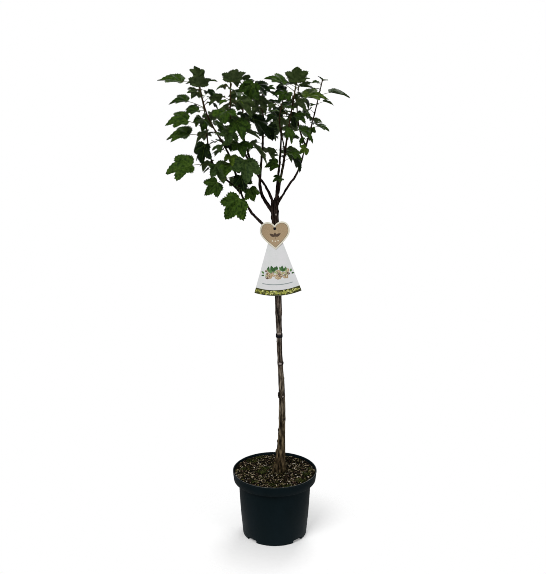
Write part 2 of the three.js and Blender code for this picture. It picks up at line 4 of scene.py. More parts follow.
import bpy
import numpy as np
from mathutils import Matrix, Vector, noise

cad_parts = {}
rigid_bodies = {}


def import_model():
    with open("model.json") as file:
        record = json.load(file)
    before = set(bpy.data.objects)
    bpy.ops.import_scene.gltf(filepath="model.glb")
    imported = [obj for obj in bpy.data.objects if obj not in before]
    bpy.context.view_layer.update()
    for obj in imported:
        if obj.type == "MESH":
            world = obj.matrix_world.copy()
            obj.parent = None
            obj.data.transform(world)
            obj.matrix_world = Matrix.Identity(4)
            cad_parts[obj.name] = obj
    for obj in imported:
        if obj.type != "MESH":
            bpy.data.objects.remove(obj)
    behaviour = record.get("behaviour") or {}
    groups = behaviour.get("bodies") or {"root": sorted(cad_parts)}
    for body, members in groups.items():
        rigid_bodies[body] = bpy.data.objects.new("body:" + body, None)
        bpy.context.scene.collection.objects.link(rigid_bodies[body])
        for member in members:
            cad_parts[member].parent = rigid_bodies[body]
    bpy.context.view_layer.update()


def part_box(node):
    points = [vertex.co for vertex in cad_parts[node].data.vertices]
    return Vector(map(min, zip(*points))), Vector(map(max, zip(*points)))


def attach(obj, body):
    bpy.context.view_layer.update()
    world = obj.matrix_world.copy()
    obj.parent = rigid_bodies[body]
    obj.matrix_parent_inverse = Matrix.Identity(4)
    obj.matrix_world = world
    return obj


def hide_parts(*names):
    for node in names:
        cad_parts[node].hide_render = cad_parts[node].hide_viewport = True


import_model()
bpy.ops.object.select_all(action="DESELECT")

# The camera stands in front of the plant at the height of its crown and looks down a little, as the
# photograph was taken. The long side of the picture spans the sensor, which gives the lens.
PHOTO_HEIGHT_PX = 574
FOCAL_LENGTH_PX = 864.3
CAMERA_PLACE = (-0.0046, -2.1, 1.158)
CAMERA_PITCH = math.radians(13.17)
PIXEL_FILTER_WIDTH = 0.9

bpy.ops.object.camera_add(location=CAMERA_PLACE, rotation=(math.pi / 2 - CAMERA_PITCH, 0, 0))
camera = bpy.context.object
camera.data.lens = camera.data.sensor_width * FOCAL_LENGTH_PX / PHOTO_HEIGHT_PX
bpy.context.scene.camera = camera
bpy.context.scene.view_settings.view_transform = "Standard"
bpy.context.scene.cycles.filter_width = PIXEL_FILTER_WIDTH

# The studio is a white floor that fades into a white room, with one broad lamp at the upper left, a
# weaker one at the right and one behind, so that the shadows are soft.
FLOOR_RADIUS = 9
FLOOR_FADE = (0.1, 0.3)
FLOOR_GLOW = 0.12
ROOM_GLOW = 0.37
WHITE = (1, 1, 1, 1)
FLOOR_PAINT = {
    "Base Color": (0.96, 0.96, 0.96, 1), "Roughness": 0.9, "Specular IOR Level": 0.1,
    "Emission Color": WHITE, "Emission Strength": FLOOR_GLOW,
}
LAMPS = [
    {"name": "key_lamp", "place": (-1.4, -2.3, 2.7), "size": 1.8, "power": 74},
    {"name": "fill_lamp", "place": (2.0, -1.8, 1.3), "size": 1.6, "power": 18},
    {"name": "back_lamp", "place": (0.5, 1.6, 2.3), "size": 1.2, "power": 26},
]
LAMP_TARGET = Vector((0, 0, 0.75))


def set_inputs(node, inputs):
    """Sets plain values on inputs of a shader node."""
    for socket, value in inputs.items():
        node.inputs[socket].default_value = value


def add_node(tree, kind, inputs=None, **settings):
    """Adds a shader node with its settings and the plain values of its inputs."""
    node = tree.nodes.new("ShaderNode" + kind)
    for setting, value in settings.items():
        setattr(node, setting, value)
    set_inputs(node, inputs or {})
    return node


bpy.ops.mesh.primitive_circle_add(vertices=96, radius=FLOOR_RADIUS, fill_type="NGON")
floor = bpy.context.object
floor.name = "floor"
floor_finish = bpy.data.materials.new("white_floor")
floor_finish.use_nodes = True
tree = floor_finish.node_tree
painted = tree.nodes["Principled BSDF"]
set_inputs(painted, FLOOR_PAINT)
clear = add_node(tree, "BsdfTransparent")
place = add_node(tree, "TexCoord")
reach = add_node(tree, "VectorMath", operation="LENGTH")
fade = add_node(
    tree, "MapRange", {"From Min": FLOOR_FADE[0], "From Max": FLOOR_FADE[1]}, interpolation_type="SMOOTHSTEP"
)
blend = add_node(tree, "MixShader")
tree.links.new(place.outputs["Object"], reach.inputs[0])
tree.links.new(reach.outputs["Value"], fade.inputs["Value"])
tree.links.new(fade.outputs["Result"], blend.inputs["Fac"])
tree.links.new(painted.outputs["BSDF"], blend.inputs[1])
tree.links.new(clear.outputs["BSDF"], blend.inputs[2])
tree.links.new(blend.outputs["Shader"], tree.nodes["Material Output"].inputs["Surface"])
floor.data.materials.append(floor_finish)

room = bpy.data.worlds.new("white_room")
room.use_nodes = True
tree = room.node_tree
glow = tree.nodes["Background"]
set_inputs(glow, {"Color": WHITE})
seen = add_node(tree, "LightPath")
level = add_node(tree, "MapRange", {"To Min": ROOM_GLOW, "To Max": 1})
tree.links.new(seen.outputs["Is Camera Ray"], level.inputs["Value"])
tree.links.new(level.outputs["Result"], glow.inputs["Strength"])
bpy.context.scene.world = room

for lamp in LAMPS:
    aim = (LAMP_TARGET - Vector(lamp["place"])).to_track_quat("-Z", "Y").to_euler()
    bpy.ops.object.light_add(type="AREA", location=lamp["place"], rotation=aim)
    light = bpy.context.object
    light.name = lamp["name"]
    light.data.size = lamp["size"]
    light.data.energy = lamp["power"]

# The pot is a round nursery pot moulded in blue-black plastic: a tapered body, a deep collar under the
# rim and a foot cut by four drain notches. One ring is drawn up along the outline, over the rim and
# down the inside.
POT_SIDES = 96
POT_OUTLINE = [
    (0.0828, 0), (0.0842, 0.0012), (0.0848, 0.008), (0.0862, 0.024), (0.0888, 0.052), (0.0911, 0.084),
    (0.0928, 0.116), (0.0937, 0.142), (0.0938, 0.150), (0.1064, 0.150), (0.1072, 0.1512),
    (0.1090, 0.1655), (0.1092, 0.1718), (0.1100, 0.1728), (0.1098, 0.1750), (0.1088, 0.1760),
    (0.1078, 0.1757), (0.1070, 0.1742), (0.1068, 0.170), (0.1052, 0.153), (0.0924, 0.1518),
    (0.0918, 0.142), (0.0826, 0.0124), (0.0662, 0.0108), (0.064, 0.0034),
]
NOTCH_COUNT = 4
NOTCH_SIZE = (0.034, 0.030, 0.016)
NOTCH_CENTRE = 0.085
NOTCH_ROUNDING = 0.0022
MOULD_ROUNDING = 0.0006
MOULD_EDGE = 0.6
RIM_FROM = 0.1752


def select_only(piece):
    """Makes one object the only selected one, ready for an operator."""
    bpy.ops.object.select_all(action="DESELECT")
    piece.select_set(True)
    bpy.context.view_layer.objects.active = piece


def draw_up(name, outline, sides):
    """Draws one ring up through (radius, height) points into a closed round body."""
    first_radius, first_height = outline[0]
    bpy.ops.mesh.primitive_circle_add(
        vertices=sides, radius=first_radius, fill_type="NGON", location=(0, 0, first_height)
    )
    body = bpy.context.object
    body.name = name
    select_only(body)
    bpy.ops.object.transform_apply(location=True)
    bpy.ops.object.mode_set(mode="EDIT")
    bpy.ops.mesh.select_all(action="SELECT")
    for (radius, height), (next_radius, next_height) in zip(outline, outline[1:]):
        bpy.ops.mesh.extrude_region_move(
            TRANSFORM_OT_translate={"value": (0, 0, next_height - height)}
        )
        wider = next_radius / radius
        bpy.ops.transform.resize(value=(wider, wider, 1), center_override=(0, 0, next_height))
    return body


def close_body(body):
    """Leaves edit mode with the faces of the closed body pointing out."""
    bpy.ops.mesh.select_all(action="SELECT")
    bpy.ops.mesh.normals_make_consistent(inside=False)
    bpy.ops.object.mode_set(mode="OBJECT")


def apply_modifier(piece, kind, **settings):
    """Adds one modifier with its settings and applies it."""
    select_only(piece)
    bpy.ops.object.modifier_add(type=kind)
    modifier = piece.modifiers[-1]
    for setting, value in settings.items():
        setattr(modifier, setting, value)
    bpy.ops.object.modifier_apply(modifier=modifier.name)


def round_edges(piece, width, from_angle=math.radians(30)):
    """Rounds the edges of a piece that turn by more than an angle."""
    apply_modifier(piece, "BEVEL", width=width, segments=2, limit_method="ANGLE", angle_limit=from_angle)


def cut_away(piece, cutter):
    """Takes the space of a cutter out of a piece and removes the cutter."""
    apply_modifier(piece, "BOOLEAN", operation="DIFFERENCE", solver="EXACT", object=cutter)
    bpy.data.objects.remove(cutter)


def shade_by_angle(piece, degrees):
    """Shades a piece smooth, apart from its edges that turn by more than an angle."""
    select_only(piece)
    bpy.ops.object.shade_smooth_by_angle(angle=math.radians(degrees))


def join_as_mesh(name, parts):
    """Joins curves or meshes into one mesh object with its place in its mesh."""
    bpy.ops.object.select_all(action="DESELECT")
    for part in parts:
        part.select_set(True)
    bpy.context.view_layer.objects.active = parts[0]
    bpy.ops.object.convert(target="MESH")
    bpy.ops.object.join()
    joined = bpy.context.object
    joined.name = name
    bpy.ops.object.transform_apply(location=True, rotation=True, scale=True)
    return joined


pot = draw_up("pot_shell", POT_OUTLINE, POT_SIDES)
close_body(pot)

cutters = []
for corner in range(NOTCH_COUNT):
    turn = math.tau * (corner + 0.5) / NOTCH_COUNT
    bpy.ops.mesh.primitive_cube_add(
        size=1,
        location=(NOTCH_CENTRE * math.cos(turn), NOTCH_CENTRE * math.sin(turn), 0),
        rotation=(0, 0, turn),
        scale=NOTCH_SIZE,
    )
    cutters.append(bpy.context.object)
cutter = join_as_mesh("notch_cutter", cutters)
apply_modifier(cutter, "BEVEL", width=NOTCH_ROUNDING, segments=3)
cut_away(pot, cutter)
round_edges(pot, MOULD_ROUNDING, MOULD_EDGE)
shade_by_angle(pot, 38)


def mottle_group():
    """A shared effect: two colours mixed in soft patches, stretched along the height or not."""
    group = bpy.data.node_groups.new("mottle", "ShaderNodeTree")
    for name, way, kind in (
        ("Dark", "INPUT", "Color"),
        ("Light", "INPUT", "Color"),
        ("Scale", "INPUT", "Float"),
        ("Height Scale", "INPUT", "Float"),
        ("Sharpness", "INPUT", "Float"),
        ("Color", "OUTPUT", "Color"),
        ("Patches", "OUTPUT", "Float"),
    ):
        group.interface.new_socket(name=name, in_out=way, socket_type="NodeSocket" + kind)
    given = group.nodes.new("NodeGroupInput")
    result = group.nodes.new("NodeGroupOutput")
    place = add_node(group, "TexCoord")
    scales = add_node(group, "CombineXYZ")
    stretched = add_node(group, "VectorMath", operation="MULTIPLY")
    grain = add_node(group, "TexNoise", {"Scale": 1, "Detail": 5, "Roughness": 0.62})
    centred = add_node(group, "Math", {1: 0.5}, operation="SUBTRACT")
    sharper = add_node(group, "Math", operation="MULTIPLY")
    shifted = add_node(group, "Math", {1: 0.5}, operation="ADD", use_clamp=True)
    mixed = add_node(group, "Mix", data_type="RGBA")
    links = group.links
    for axis in ("X", "Y"):
        links.new(given.outputs["Scale"], scales.inputs[axis])
    links.new(given.outputs["Height Scale"], scales.inputs["Z"])
    links.new(place.outputs["Object"], stretched.inputs[0])
    links.new(scales.outputs["Vector"], stretched.inputs[1])
    links.new(stretched.outputs["Vector"], grain.inputs["Vector"])
    links.new(grain.outputs["Fac"], centred.inputs[0])
    links.new(centred.outputs["Value"], sharper.inputs[0])
    links.new(given.outputs["Sharpness"], sharper.inputs[1])
    links.new(sharper.outputs["Value"], shifted.inputs[0])
    links.new(shifted.outputs["Value"], mixed.inputs["Factor"])
    links.new(given.outputs["Dark"], mixed.inputs["A"])
    links.new(given.outputs["Light"], mixed.inputs["B"])
    links.new(mixed.outputs["Result"], result.inputs["Color"])
    links.new(shifted.outputs["Value"], result.inputs["Patches"])
    return group


mottle = mottle_group()


def add_mottle(tree, scale, stretch, sharpness, colours=()):
    """Places the shared effect in a material; the colours are its dark and its light one."""
    node = add_node(tree, "Group", node_tree=mottle)
    set_inputs(node, {"Scale": scale, "Height Scale": scale / stretch, "Sharpness": sharpness})
    set_inputs(node, {socket: (*colour, 1) for socket, colour in zip(("Dark", "Light"), colours)})
    return node


RELIEF_SHARPNESS = 1.6


def mottled_finish(name, dark, light, scale, sharpness, roughness, stretch=1, relief=None, shine=0.2):
    """A material in two mottled colours, with uneven roughness and a fine relief (scale, depth).

    A stretch above 1 draws the pattern out along the height, and shine is the specular level.
    """
    material = bpy.data.materials.new(name)
    material.use_nodes = True
    tree = material.node_tree
    shader = tree.nodes["Principled BSDF"]
    set_inputs(shader, {"Specular IOR Level": shine})
    patches = add_mottle(tree, scale, stretch, sharpness, (dark, light))
    patches.name = "patches"
    tree.links.new(patches.outputs["Color"], shader.inputs["Base Color"])
    dullness = add_node(tree, "MapRange", {"To Min": roughness[0], "To Max": roughness[1]})
    tree.links.new(patches.outputs["Patches"], dullness.inputs["Value"])
    tree.links.new(dullness.outputs["Result"], shader.inputs["Roughness"])
    if relief:
        fine = add_mottle(tree, relief[0], stretch, RELIEF_SHARPNESS)
        bump = add_node(tree, "Bump", {"Distance": relief[1]})
        tree.links.new(fine.outputs["Patches"], bump.inputs["Height"])
        tree.links.new(bump.outputs["Normal"], shader.inputs["Normal"])
    return material


def add_slots(piece, count):
    """Makes room on a piece for a number of finishes."""
    while len(piece.data.materials) < count:
        piece.data.materials.append(None)


def dress(piece, finishes, slot, *replaced):
    """Gives a finished piece its finishes, the nodes it stands for and its body; the slot is not used."""
    add_slots(piece, len(finishes))
    for i, finish in enumerate(finishes):
        piece.data.materials[i] = finish
    if replaced:
        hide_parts(*replaced)
    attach(piece, "root")


pot_plastic = mottled_finish(
    "pot_plastic", (0.0016, 0.0056, 0.0068), (0.0038, 0.0094, 0.0124),
    scale=26, stretch=1.8, sharpness=1.6, roughness=(0.46, 0.6), relief=(900, 0.00012), shine=0.05,
)
# The rim's top faces are flecked far lighter than the body: a painted highlight along its edge.
rim_plastic_painted_highlight = mottled_finish(
    "rim_plastic_painted_highlight", (0.004, 0.0065, 0.008), (0.05, 0.056, 0.055),
    scale=120, sharpness=3, roughness=(0.3, 0.45), relief=(900, 0.0001), shine=0.4,
)
add_slots(pot, 2)
for face in pot.data.polygons:
    face.material_index = int(face.center.z > RIM_FROM)
dress(pot, [pot_plastic, rim_plastic_painted_highlight], "pot_plastic", "pot")

# The compost fills the pot to just under its rim: a crumbly brown bed with bits of bark, pale grains
# and cushions of moss. The bed is drawn up inside the pot, and its top is inset into rings and raised.
# The tables of crumbs and moss are in millimetres and all else in metres. Their shares deal out the
# finishes, and a cushion's row gives its middle and its spread.
MM = 0.001
BED_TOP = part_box("compost")[1][2]
BED_OUTLINE = [
    (0.0630, 0.0037), (0.0650, 0.0111), (0.0820, 0.0127), (0.0915, 0.142), (0.0920, 0.1521),
    (0.1048, 0.1533), (0.1062, 0.1670), (0.1064, 0.1692),
]
BED_SIDES = 96
BED_RINGS = 26
BED_BUMPS = {"depth": 0.0022, "broad_scale": 38, "fine_scale": 110, "fine_share": 0.6}
BED_EDGE = {"from": 0.085, "width": 0.021, "drop": 0.002}
CRUMB_REACH = 0.1035
CRUMB_FORM = {"uneven": (0.65, 1.25), "curl": 1.6, "tilt": 0.5, "seat": (0.2, 0.9)}
CRUMBS = [
    {
        "name": "fine_crumbs", "count": 2100, "size": (0.8, 2.1), "slim": (0.5, 0.9), "flat": 0.7, "seed": 11,
        "shares": (0.68, 0.17, 0.06, 0.075, 0.015),
    },
    {
        "name": "fibres", "count": 1500, "size": (2.2, 5.2), "slim": (0.14, 0.26), "flat": 0.2, "seed": 23,
        "shares": (0.34, 0.17, 0.24, 0.21, 0.04),
    },
    {
        "name": "bark_chips", "count": 100, "size": (2.6, 5.4), "slim": (0.35, 0.6), "flat": 0.22, "seed": 31,
        "shares": (0.34, 0.5, 0.1, 0.06, 0), "patch": {"middle": (46, -58), "spread": 26},
    },
]
MOSS = {
    "tufts_per_area": 0.11, "loose": (0.5, 1), "deep": 0.8, "reach": 102, "seed": 47,
    "size": (1.0, 2.6), "slim": (0.4, 0.9), "flat": 0.8, "shares": (0.5, 0.5), "tuft_seed": 48,
}
MOSS_CUSHIONS = [
    (-34, -8, 20), (-22, 14, 15), (84, -22, 16), (66, -56, 19), (30, -88, 14), (-62, 62, 17),
    (-82, 8, 10), (-54, -64, 12), (-8, -84, 12), (92, 12, 9), (-44, 80, 12), (20, 40, 12),
]


def bed_height(x, y):
    """The height of the compost's surface in metres at a place in metres."""
    broad, fine = BED_BUMPS["broad_scale"], BED_BUMPS["fine_scale"]
    bumps = noise.noise(Vector((x * broad, y * broad, 3)))
    bumps += BED_BUMPS["fine_share"] * noise.noise(Vector((x * fine, y * fine, 9)))
    edge = max(0.0, (math.hypot(x, y) - BED_EDGE["from"]) / BED_EDGE["width"])
    return BED_TOP + BED_BUMPS["depth"] * bumps - BED_EDGE["drop"] * edge * edge


def piece_from_arrays(name, points, faces, finish_of_face):
    """One mesh of many joined small things, from points in metres and faces as tuples."""
    mesh = bpy.data.meshes.new(name)
    mesh.from_pydata(points, [], faces)
    piece = bpy.data.objects.new(name, mesh)
    bpy.context.collection.objects.link(piece)
    add_slots(piece, max(finish_of_face) + 1)
    mesh.polygons.foreach_set("material_index", finish_of_face)
    mesh.update()
    return piece


def pebble_form():
    """The corners and faces of one angular crumb of unit radius."""
    bpy.ops.mesh.primitive_ico_sphere_add(subdivisions=1, radius=1)
    pebble = bpy.context.object
    corners = np.array([tuple(corner.co) for corner in pebble.data.vertices])
    faces = [tuple(face.vertices) for face in pebble.data.polygons]
    bpy.data.objects.remove(pebble)
    return corners, faces


pebble_corners, pebble_faces = pebble_form()


def scattered(places, sizes, kind, seed):
    """Points, faces and finishes of crumbs of one kind, laid at places on the bed, in metres."""
    chance = np.random.default_rng(seed)
    flat = kind["flat"]
    shares = kind["shares"]
    points = []
    faces = []
    finishes = []
    for (x, y), size in zip(places, sizes):
        shape = pebble_corners * chance.uniform(*CRUMB_FORM["uneven"], pebble_corners.shape)
        shape[:, 1] += chance.uniform(-CRUMB_FORM["curl"], CRUMB_FORM["curl"]) * shape[:, 0] ** 2
        shape *= (size, size * chance.uniform(*kind["slim"]), size * flat)
        turn = Matrix.Rotation(chance.uniform(0, math.tau), 3, "Z")
        tilt = Matrix.Rotation(chance.uniform(-CRUMB_FORM["tilt"], CRUMB_FORM["tilt"]), 3, "Y")
        shape = shape @ np.array(tilt @ turn)
        shape += (x, y, bed_height(x, y) + chance.uniform(*CRUMB_FORM["seat"]) * size * flat)
        faces += [tuple(len(points) + corner for corner in face) for face in pebble_faces]
        finishes += [int(chance.choice(len(shares), p=shares))] * len(pebble_faces)
        points += [tuple(p) for p in shape]
    return points, faces, finishes


def places_on_bed(count, chance):
    """Places spread evenly over the round bed, in metres."""
    radius = CRUMB_REACH * np.sqrt(chance.uniform(0, 1, count))
    turn = chance.uniform(0, math.tau, count)
    return np.stack([radius * np.cos(turn), radius * np.sin(turn)], axis=1)


bed = draw_up("compost_bed", BED_OUTLINE, BED_SIDES)
for ring in range(BED_RINGS):
    bpy.ops.mesh.inset(thickness=BED_OUTLINE[-1][0] / (BED_RINGS + 1))
close_body(bed)
for vertex in bed.data.vertices:
    if vertex.co.z > BED_OUTLINE[-1][1] - 1e-5:
        vertex.co.z = bed_height(vertex.co.x, vertex.co.y)
shade_by_angle(bed, 40)

SOIL_COLOURS = {
    "crumb_black": ((0.001, 0.0008, 0.0004), (0.0045, 0.0034, 0.0018)),
    "crumb_brown": ((0.01, 0.0052, 0.0036), (0.07, 0.04, 0.028)),
    "crumb_tan": ((0.13, 0.1, 0.058), (0.46, 0.38, 0.25)),
    "crumb_olive": ((0.022, 0.022, 0.006), (0.13, 0.12, 0.036)),
    "crumb_pale": ((0.42, 0.39, 0.31), (0.68, 0.65, 0.57)),
    "moss_dark": ((0.003, 0.0042, 0.0014), (0.014, 0.019, 0.005)),
    "moss_green": ((0.014, 0.018, 0.004), (0.062, 0.07, 0.016)),
}
bed_soil = mottled_finish(
    "bed_soil", (0.0012, 0.001, 0.0006), (0.014, 0.011, 0.006),
    scale=320, sharpness=3.2, roughness=(0.88, 1), relief=(700, 0.0014), shine=0.03,
)
soils = [
    mottled_finish(
        name, dark, light, scale=260, sharpness=2.4, roughness=(0.85, 1), relief=(900, 0.0003), shine=0.04
    )
    for name, (dark, light) in SOIL_COLOURS.items()
]
crumb_finishes, moss_finishes = soils[:5], soils[5:]
dress(bed, [bed_soil], "compost", "compost")
for kind in CRUMBS:
    chance = np.random.default_rng(kind["seed"])
    places = places_on_bed(kind["count"], chance)
    if "patch" in kind:
        half = kind["count"] // 2
        middle = np.array(kind["patch"]["middle"]) * MM
        places[:half] = middle + chance.normal(0, kind["patch"]["spread"] * MM / 2, (half, 2))
    sizes = chance.uniform(*kind["size"], kind["count"]) * MM
    crumbs = piece_from_arrays(kind["name"], *scattered(places, sizes, kind, kind["seed"]))
    dress(crumbs, crumb_finishes, "compost", "compost")

chance = np.random.default_rng(MOSS["seed"])
tufts = []
for x, y, spread in MOSS_CUSHIONS:
    count = int(MOSS["tufts_per_area"] * math.pi * spread * spread)
    away = spread * np.sqrt(chance.uniform(0, 1, count)) * chance.uniform(*MOSS["loose"], count)
    turn = chance.uniform(0, math.tau, count)
    tufts += list(zip(x + away * np.cos(turn), y + MOSS["deep"] * away * np.sin(turn)))
tufts = [(x * MM, y * MM) for x, y in tufts if math.hypot(x, y) < MOSS["reach"]]
sizes = chance.uniform(*MOSS["size"], len(tufts)) * MM
moss = piece_from_arrays("moss_cushions", *scattered(tufts, sizes, MOSS, MOSS["tuft_seed"]))
dress(moss, moss_finishes, "compost", "compost")

# The wood is one bare stem, flared and ridged at its foot, that forks at the top into the boughs. Each
# limb is a tapering tube along a smooth path, and they are grown into one skin, then given bark.
# The tables of stem, roots and limbs are in millimetres. A limb springs from its parent at a height and
# follows its guides to its tip. Its girth is its radius at either end, its bare share has no leaves, and
# leaf, spacing, turn and seed are for the rule that sets them. Its spurs have their own seed and spacing,
# and a shaded limb's leaves are dealt darker tints as painted shade.
STEM_GUIDES = [[14, 0, 171.3], [19, 0, 310], [17, 0, 410], [12, 0, 510], [8, 0, 660], [-1, 0, 884]]
STEM = {"radius": 6.7, "top_radius": 9, "flare": 8.8, "flare_height": 78, "sunk": 5}
WAIST = {"z": 505, "depth": 1.0, "height": 75}
KNUCKLES = [318, 380, 468, 600, 700, 790, 852]
KNUCKLE = {"swell": 0.8, "height": 6}
ROOTS = {
    "count": 6, "turn": 24, "rise": 44, "start": 3, "reach": 25, "girth": (6.4, 2.2), "steps": 8,
    "spread_power": 1.6, "fall_power": 0.8,
}
LIMBS = [
    {
        "name": "low_left", "parent": "trunk", "height": 794, "girth": [4.2, 1.3], "bare": 0.34,
        "guides": [[-70, -15, 875], [-105, -45, 990], [-155, -60, 1085]], "tip": [-175, -70, 1165],
        "leaf": 46, "spacing": 19, "turn": 158, "seed": 5958, "spurs": (104, 34), "shaded": False,
    },
    {
        "name": "outer_left", "parent": "low_left", "height": 905, "girth": [2.9, 1.2], "bare": 0.2,
        "guides": [[-150, -10, 975], [-170, 30, 1095]], "tip": [-185, 45, 1160],
        "leaf": 46, "spacing": 23, "turn": 318, "seed": 7632, "spurs": (14, 48), "shaded": False,
    },
    {
        "name": "mid_left", "parent": "trunk", "height": 866, "girth": [3.8, 1.3], "bare": 0.38,
        "guides": [[-20, -15, 915], [-45, -40, 955], [-70, -60, 1000], [-100, -85, 1060]],
        "tip": [-100, -110, 1165],
        "leaf": 56, "spacing": 16, "turn": 234, "seed": 7394, "spurs": (95, 24), "shaded": False,
    },
    {
        "name": "twin_left", "parent": "mid_left", "height": 971, "girth": [3.0, 1.2], "bare": 0.3,
        "guides": [[-75, -35, 1045], [-75, -5, 1110]], "tip": [-65, 15, 1165],
        "leaf": 56, "spacing": 20, "turn": 197, "seed": 4233, "spurs": (110, 24), "shaded": True,
    },
    {
        "name": "back_left", "parent": "trunk", "height": 846, "girth": [5.6, 1.3], "bare": 0.48,
        "guides": [[-35, 20, 910], [-30, 70, 1020]], "tip": [-30, 125, 1145],
        "leaf": 46, "spacing": 20, "turn": 10, "seed": 7146, "spurs": (92, 34), "shaded": True,
    },
    {
        "name": "upright", "parent": "trunk", "height": 878, "girth": [4.0, 1.3], "bare": 0.3,
        "guides": [[10, -5, 915], [20, -10, 970], [30, -30, 1045]], "tip": [50, -40, 1165],
        "leaf": 44, "spacing": 24, "turn": 334, "seed": 7490, "spurs": (60, 48), "shaded": False,
    },
    {
        "name": "front_thin", "parent": "upright", "height": 1002, "girth": [2.5, 1.1], "bare": 0.35,
        "guides": [[15, -50, 1045], [10, -75, 1080]], "tip": [15, -100, 1115],
        "leaf": 37, "spacing": 26, "turn": 314, "seed": 7391, "spurs": (60, 24), "shaded": False,
    },
    {
        "name": "right", "parent": "trunk", "height": 866, "girth": [3.8, 1.1], "bare": 0.5,
        "guides": [[35, 10, 920], [55, 15, 950], [75, 30, 1010], [95, 35, 1085]], "tip": [115, 45, 1170],
        "leaf": 30, "spacing": 25, "turn": 140, "seed": 1965, "spurs": (87, 34), "shaded": False,
    },
    {
        "name": "back_right", "parent": "right", "height": 1012, "girth": [2.8, 1.1], "bare": 0.3,
        "guides": [[60, 65, 1055], [55, 95, 1110]], "tip": [60, 120, 1155],
        "leaf": 44, "spacing": 17, "turn": 123, "seed": 327, "spurs": (61, 48), "shaded": True,
    },
    {
        "name": "rear", "parent": "trunk", "height": 856, "girth": [4.4, 1.3], "bare": 0.45,
        "guides": [[8, 44, 930], [15, 100, 1010]], "tip": [20, 160, 1118],
        "leaf": 42, "spacing": 22, "turn": 291, "seed": 6337, "spurs": (104, 24), "shaded": True,
    },
]
PATH_STEPS = 48
HEADING_REACH = 0.02
WOOD_STEP = 3
SKIN_VOXEL = 0.0011
TAPER_POWER = 0.62
KINK = {"spacing": 27, "offset": 1.0, "gain": 1.4, "easing": 0.5, "full_girth": 4, "seeds_per_limb": 100}
COLLAR = (1.35, 1.25, 1.15, 1.06)
NODE_SWELL = {"share": 0.16, "sharpness": 6}
# A knob at the fork has a place and a radius; one at the foot has a height, a way out and a radius.
FORK_KNOBS = [
    (-3, -1, 842, 7.4), (4, 1, 856, 6.6), (1, -4, 866, 6.2), (5, -2, 878, 6), (3, 3, 884, 5.6),
    (6, 0, 891, 5),
]
FOOT_KNOBS = [(286, 6.5, 4.2), (255, 7, 4.8), (226, 8.6, 6), (204, 9.6, 7), (184, 11.5, 7.6), (172, 13, 8)]
FOOT_KNOBS_FORWARD = 1
KNOB_STRETCH = 1.3
# A relief of the bark has a size in metres, a stretch along the height and a depth in metres.
BARK_RELIEFS = [(0.0045, 9, 0.0016), (0.012, 3, 0.0018)]
FOOT_RIDGES = {
    "height": 34, "heights_to_fade": 3, "depth": 2.2, "size": 7, "stretch": 7, "fine_share": 0.5,
    "fine_scale": 2.3,
}


class Path:
    """A smooth line through guide points in millimetres, read by the share of its length."""

    def __init__(self, guides):
        ends = [np.array(guide, float) for guide in guides]
        ends = [2 * ends[0] - ends[1], *ends, 2 * ends[-1] - ends[-2]]
        spans = len(guides) - 1
        self.points = []
        for step in range(PATH_STEPS + 1):
            reach = spans * step / PATH_STEPS
            span = min(int(reach), spans - 1)
            t = reach - span
            before, start, end, after = ends[span:span + 4]
            leaving = (end - before) / 2
            arriving = (after - start) / 2
            square = 3 * (end - start) - 2 * leaving - arriving
            cube = 2 * (start - end) + leaving + arriving
            self.points.append(start + leaving * t + square * t**2 + cube * t**3)
        steps = np.linalg.norm(np.diff(self.points, axis=0), axis=1)
        self.marks = np.concatenate([[0], np.cumsum(steps)])
        self.length = self.marks[-1]

    def at(self, share):
        mark = min(max(share, 0), 1) * self.length
        i = min(max(int(np.searchsorted(self.marks, mark)), 1), PATH_STEPS)
        along = (mark - self.marks[i - 1]) / (self.marks[i] - self.marks[i - 1])
        return self.points[i - 1] + (self.points[i] - self.points[i - 1]) * along

    def heading(self, share):
        ahead = self.at(share + HEADING_REACH) - self.at(share - HEADING_REACH)
        return ahead / np.linalg.norm(ahead)

    def share_at_height(self, z):
        i = next(i for i in range(1, PATH_STEPS + 1) if self.points[i][2] >= z or i == PATH_STEPS)
        low, high = self.points[i - 1][2], self.points[i][2]
        along = (z - low) / (high - low)
        return (self.marks[i - 1] + along * (self.marks[i] - self.marks[i - 1])) / self.length


def mix(start, end, share):
    return start + (end - start) * share


def bend_at(index, node):
    """How far a limb strays sideways at one of its nodes, in millimetres; its root stays put."""
    if node == 0:
        return np.zeros(3)
    chance = np.random.default_rng(KINK["seeds_per_limb"] * index + node)
    return chance.uniform(-1, 1, 3) * KINK["offset"]


def kinked(limb, share):
    """A place on a limb as it is drawn: its path, strayed a little and straight between nodes."""
    path = paths[limb["name"]]
    along = share * path.length / KINK["spacing"]
    index = LIMBS.index(limb)
    stray = mix(bend_at(index, int(along)), bend_at(index, int(along) + 1), along % 1)
    girth = KINK["gain"] * limb["girth"][0] * (1 - KINK["easing"] * share)
    return path.at(share) + stray * min(1, girth / KINK["full_girth"])


def limb_radius(limb, share):
    """A limb's radius as it is drawn: it narrows sooner than the solids' even taper."""
    return mix(*limb["girth"], share**TAPER_POWER)


def stem_radius(z):
    """The stem's radius in millimetres at a height: taper, flare at the foot and old knuckles."""
    rise = max(0.0, z - STEM_GUIDES[0][2])
    swell = sum(math.exp(-(((z - k) / KNUCKLE["height"]) ** 2)) for k in KNUCKLES)
    taper = mix(STEM["radius"], STEM["top_radius"], rise / (STEM_GUIDES[-1][2] - STEM_GUIDES[0][2]))
    taper -= WAIST["depth"] * math.exp(-(((z - WAIST["z"]) / WAIST["height"]) ** 2))
    return taper + STEM["flare"] * math.exp(-rise / STEM["flare_height"]) + KNUCKLE["swell"] * swell


def outwards(turn):
    """The level direction at a turn, in radians."""
    return np.array([math.cos(turn), math.sin(turn), 0.0])


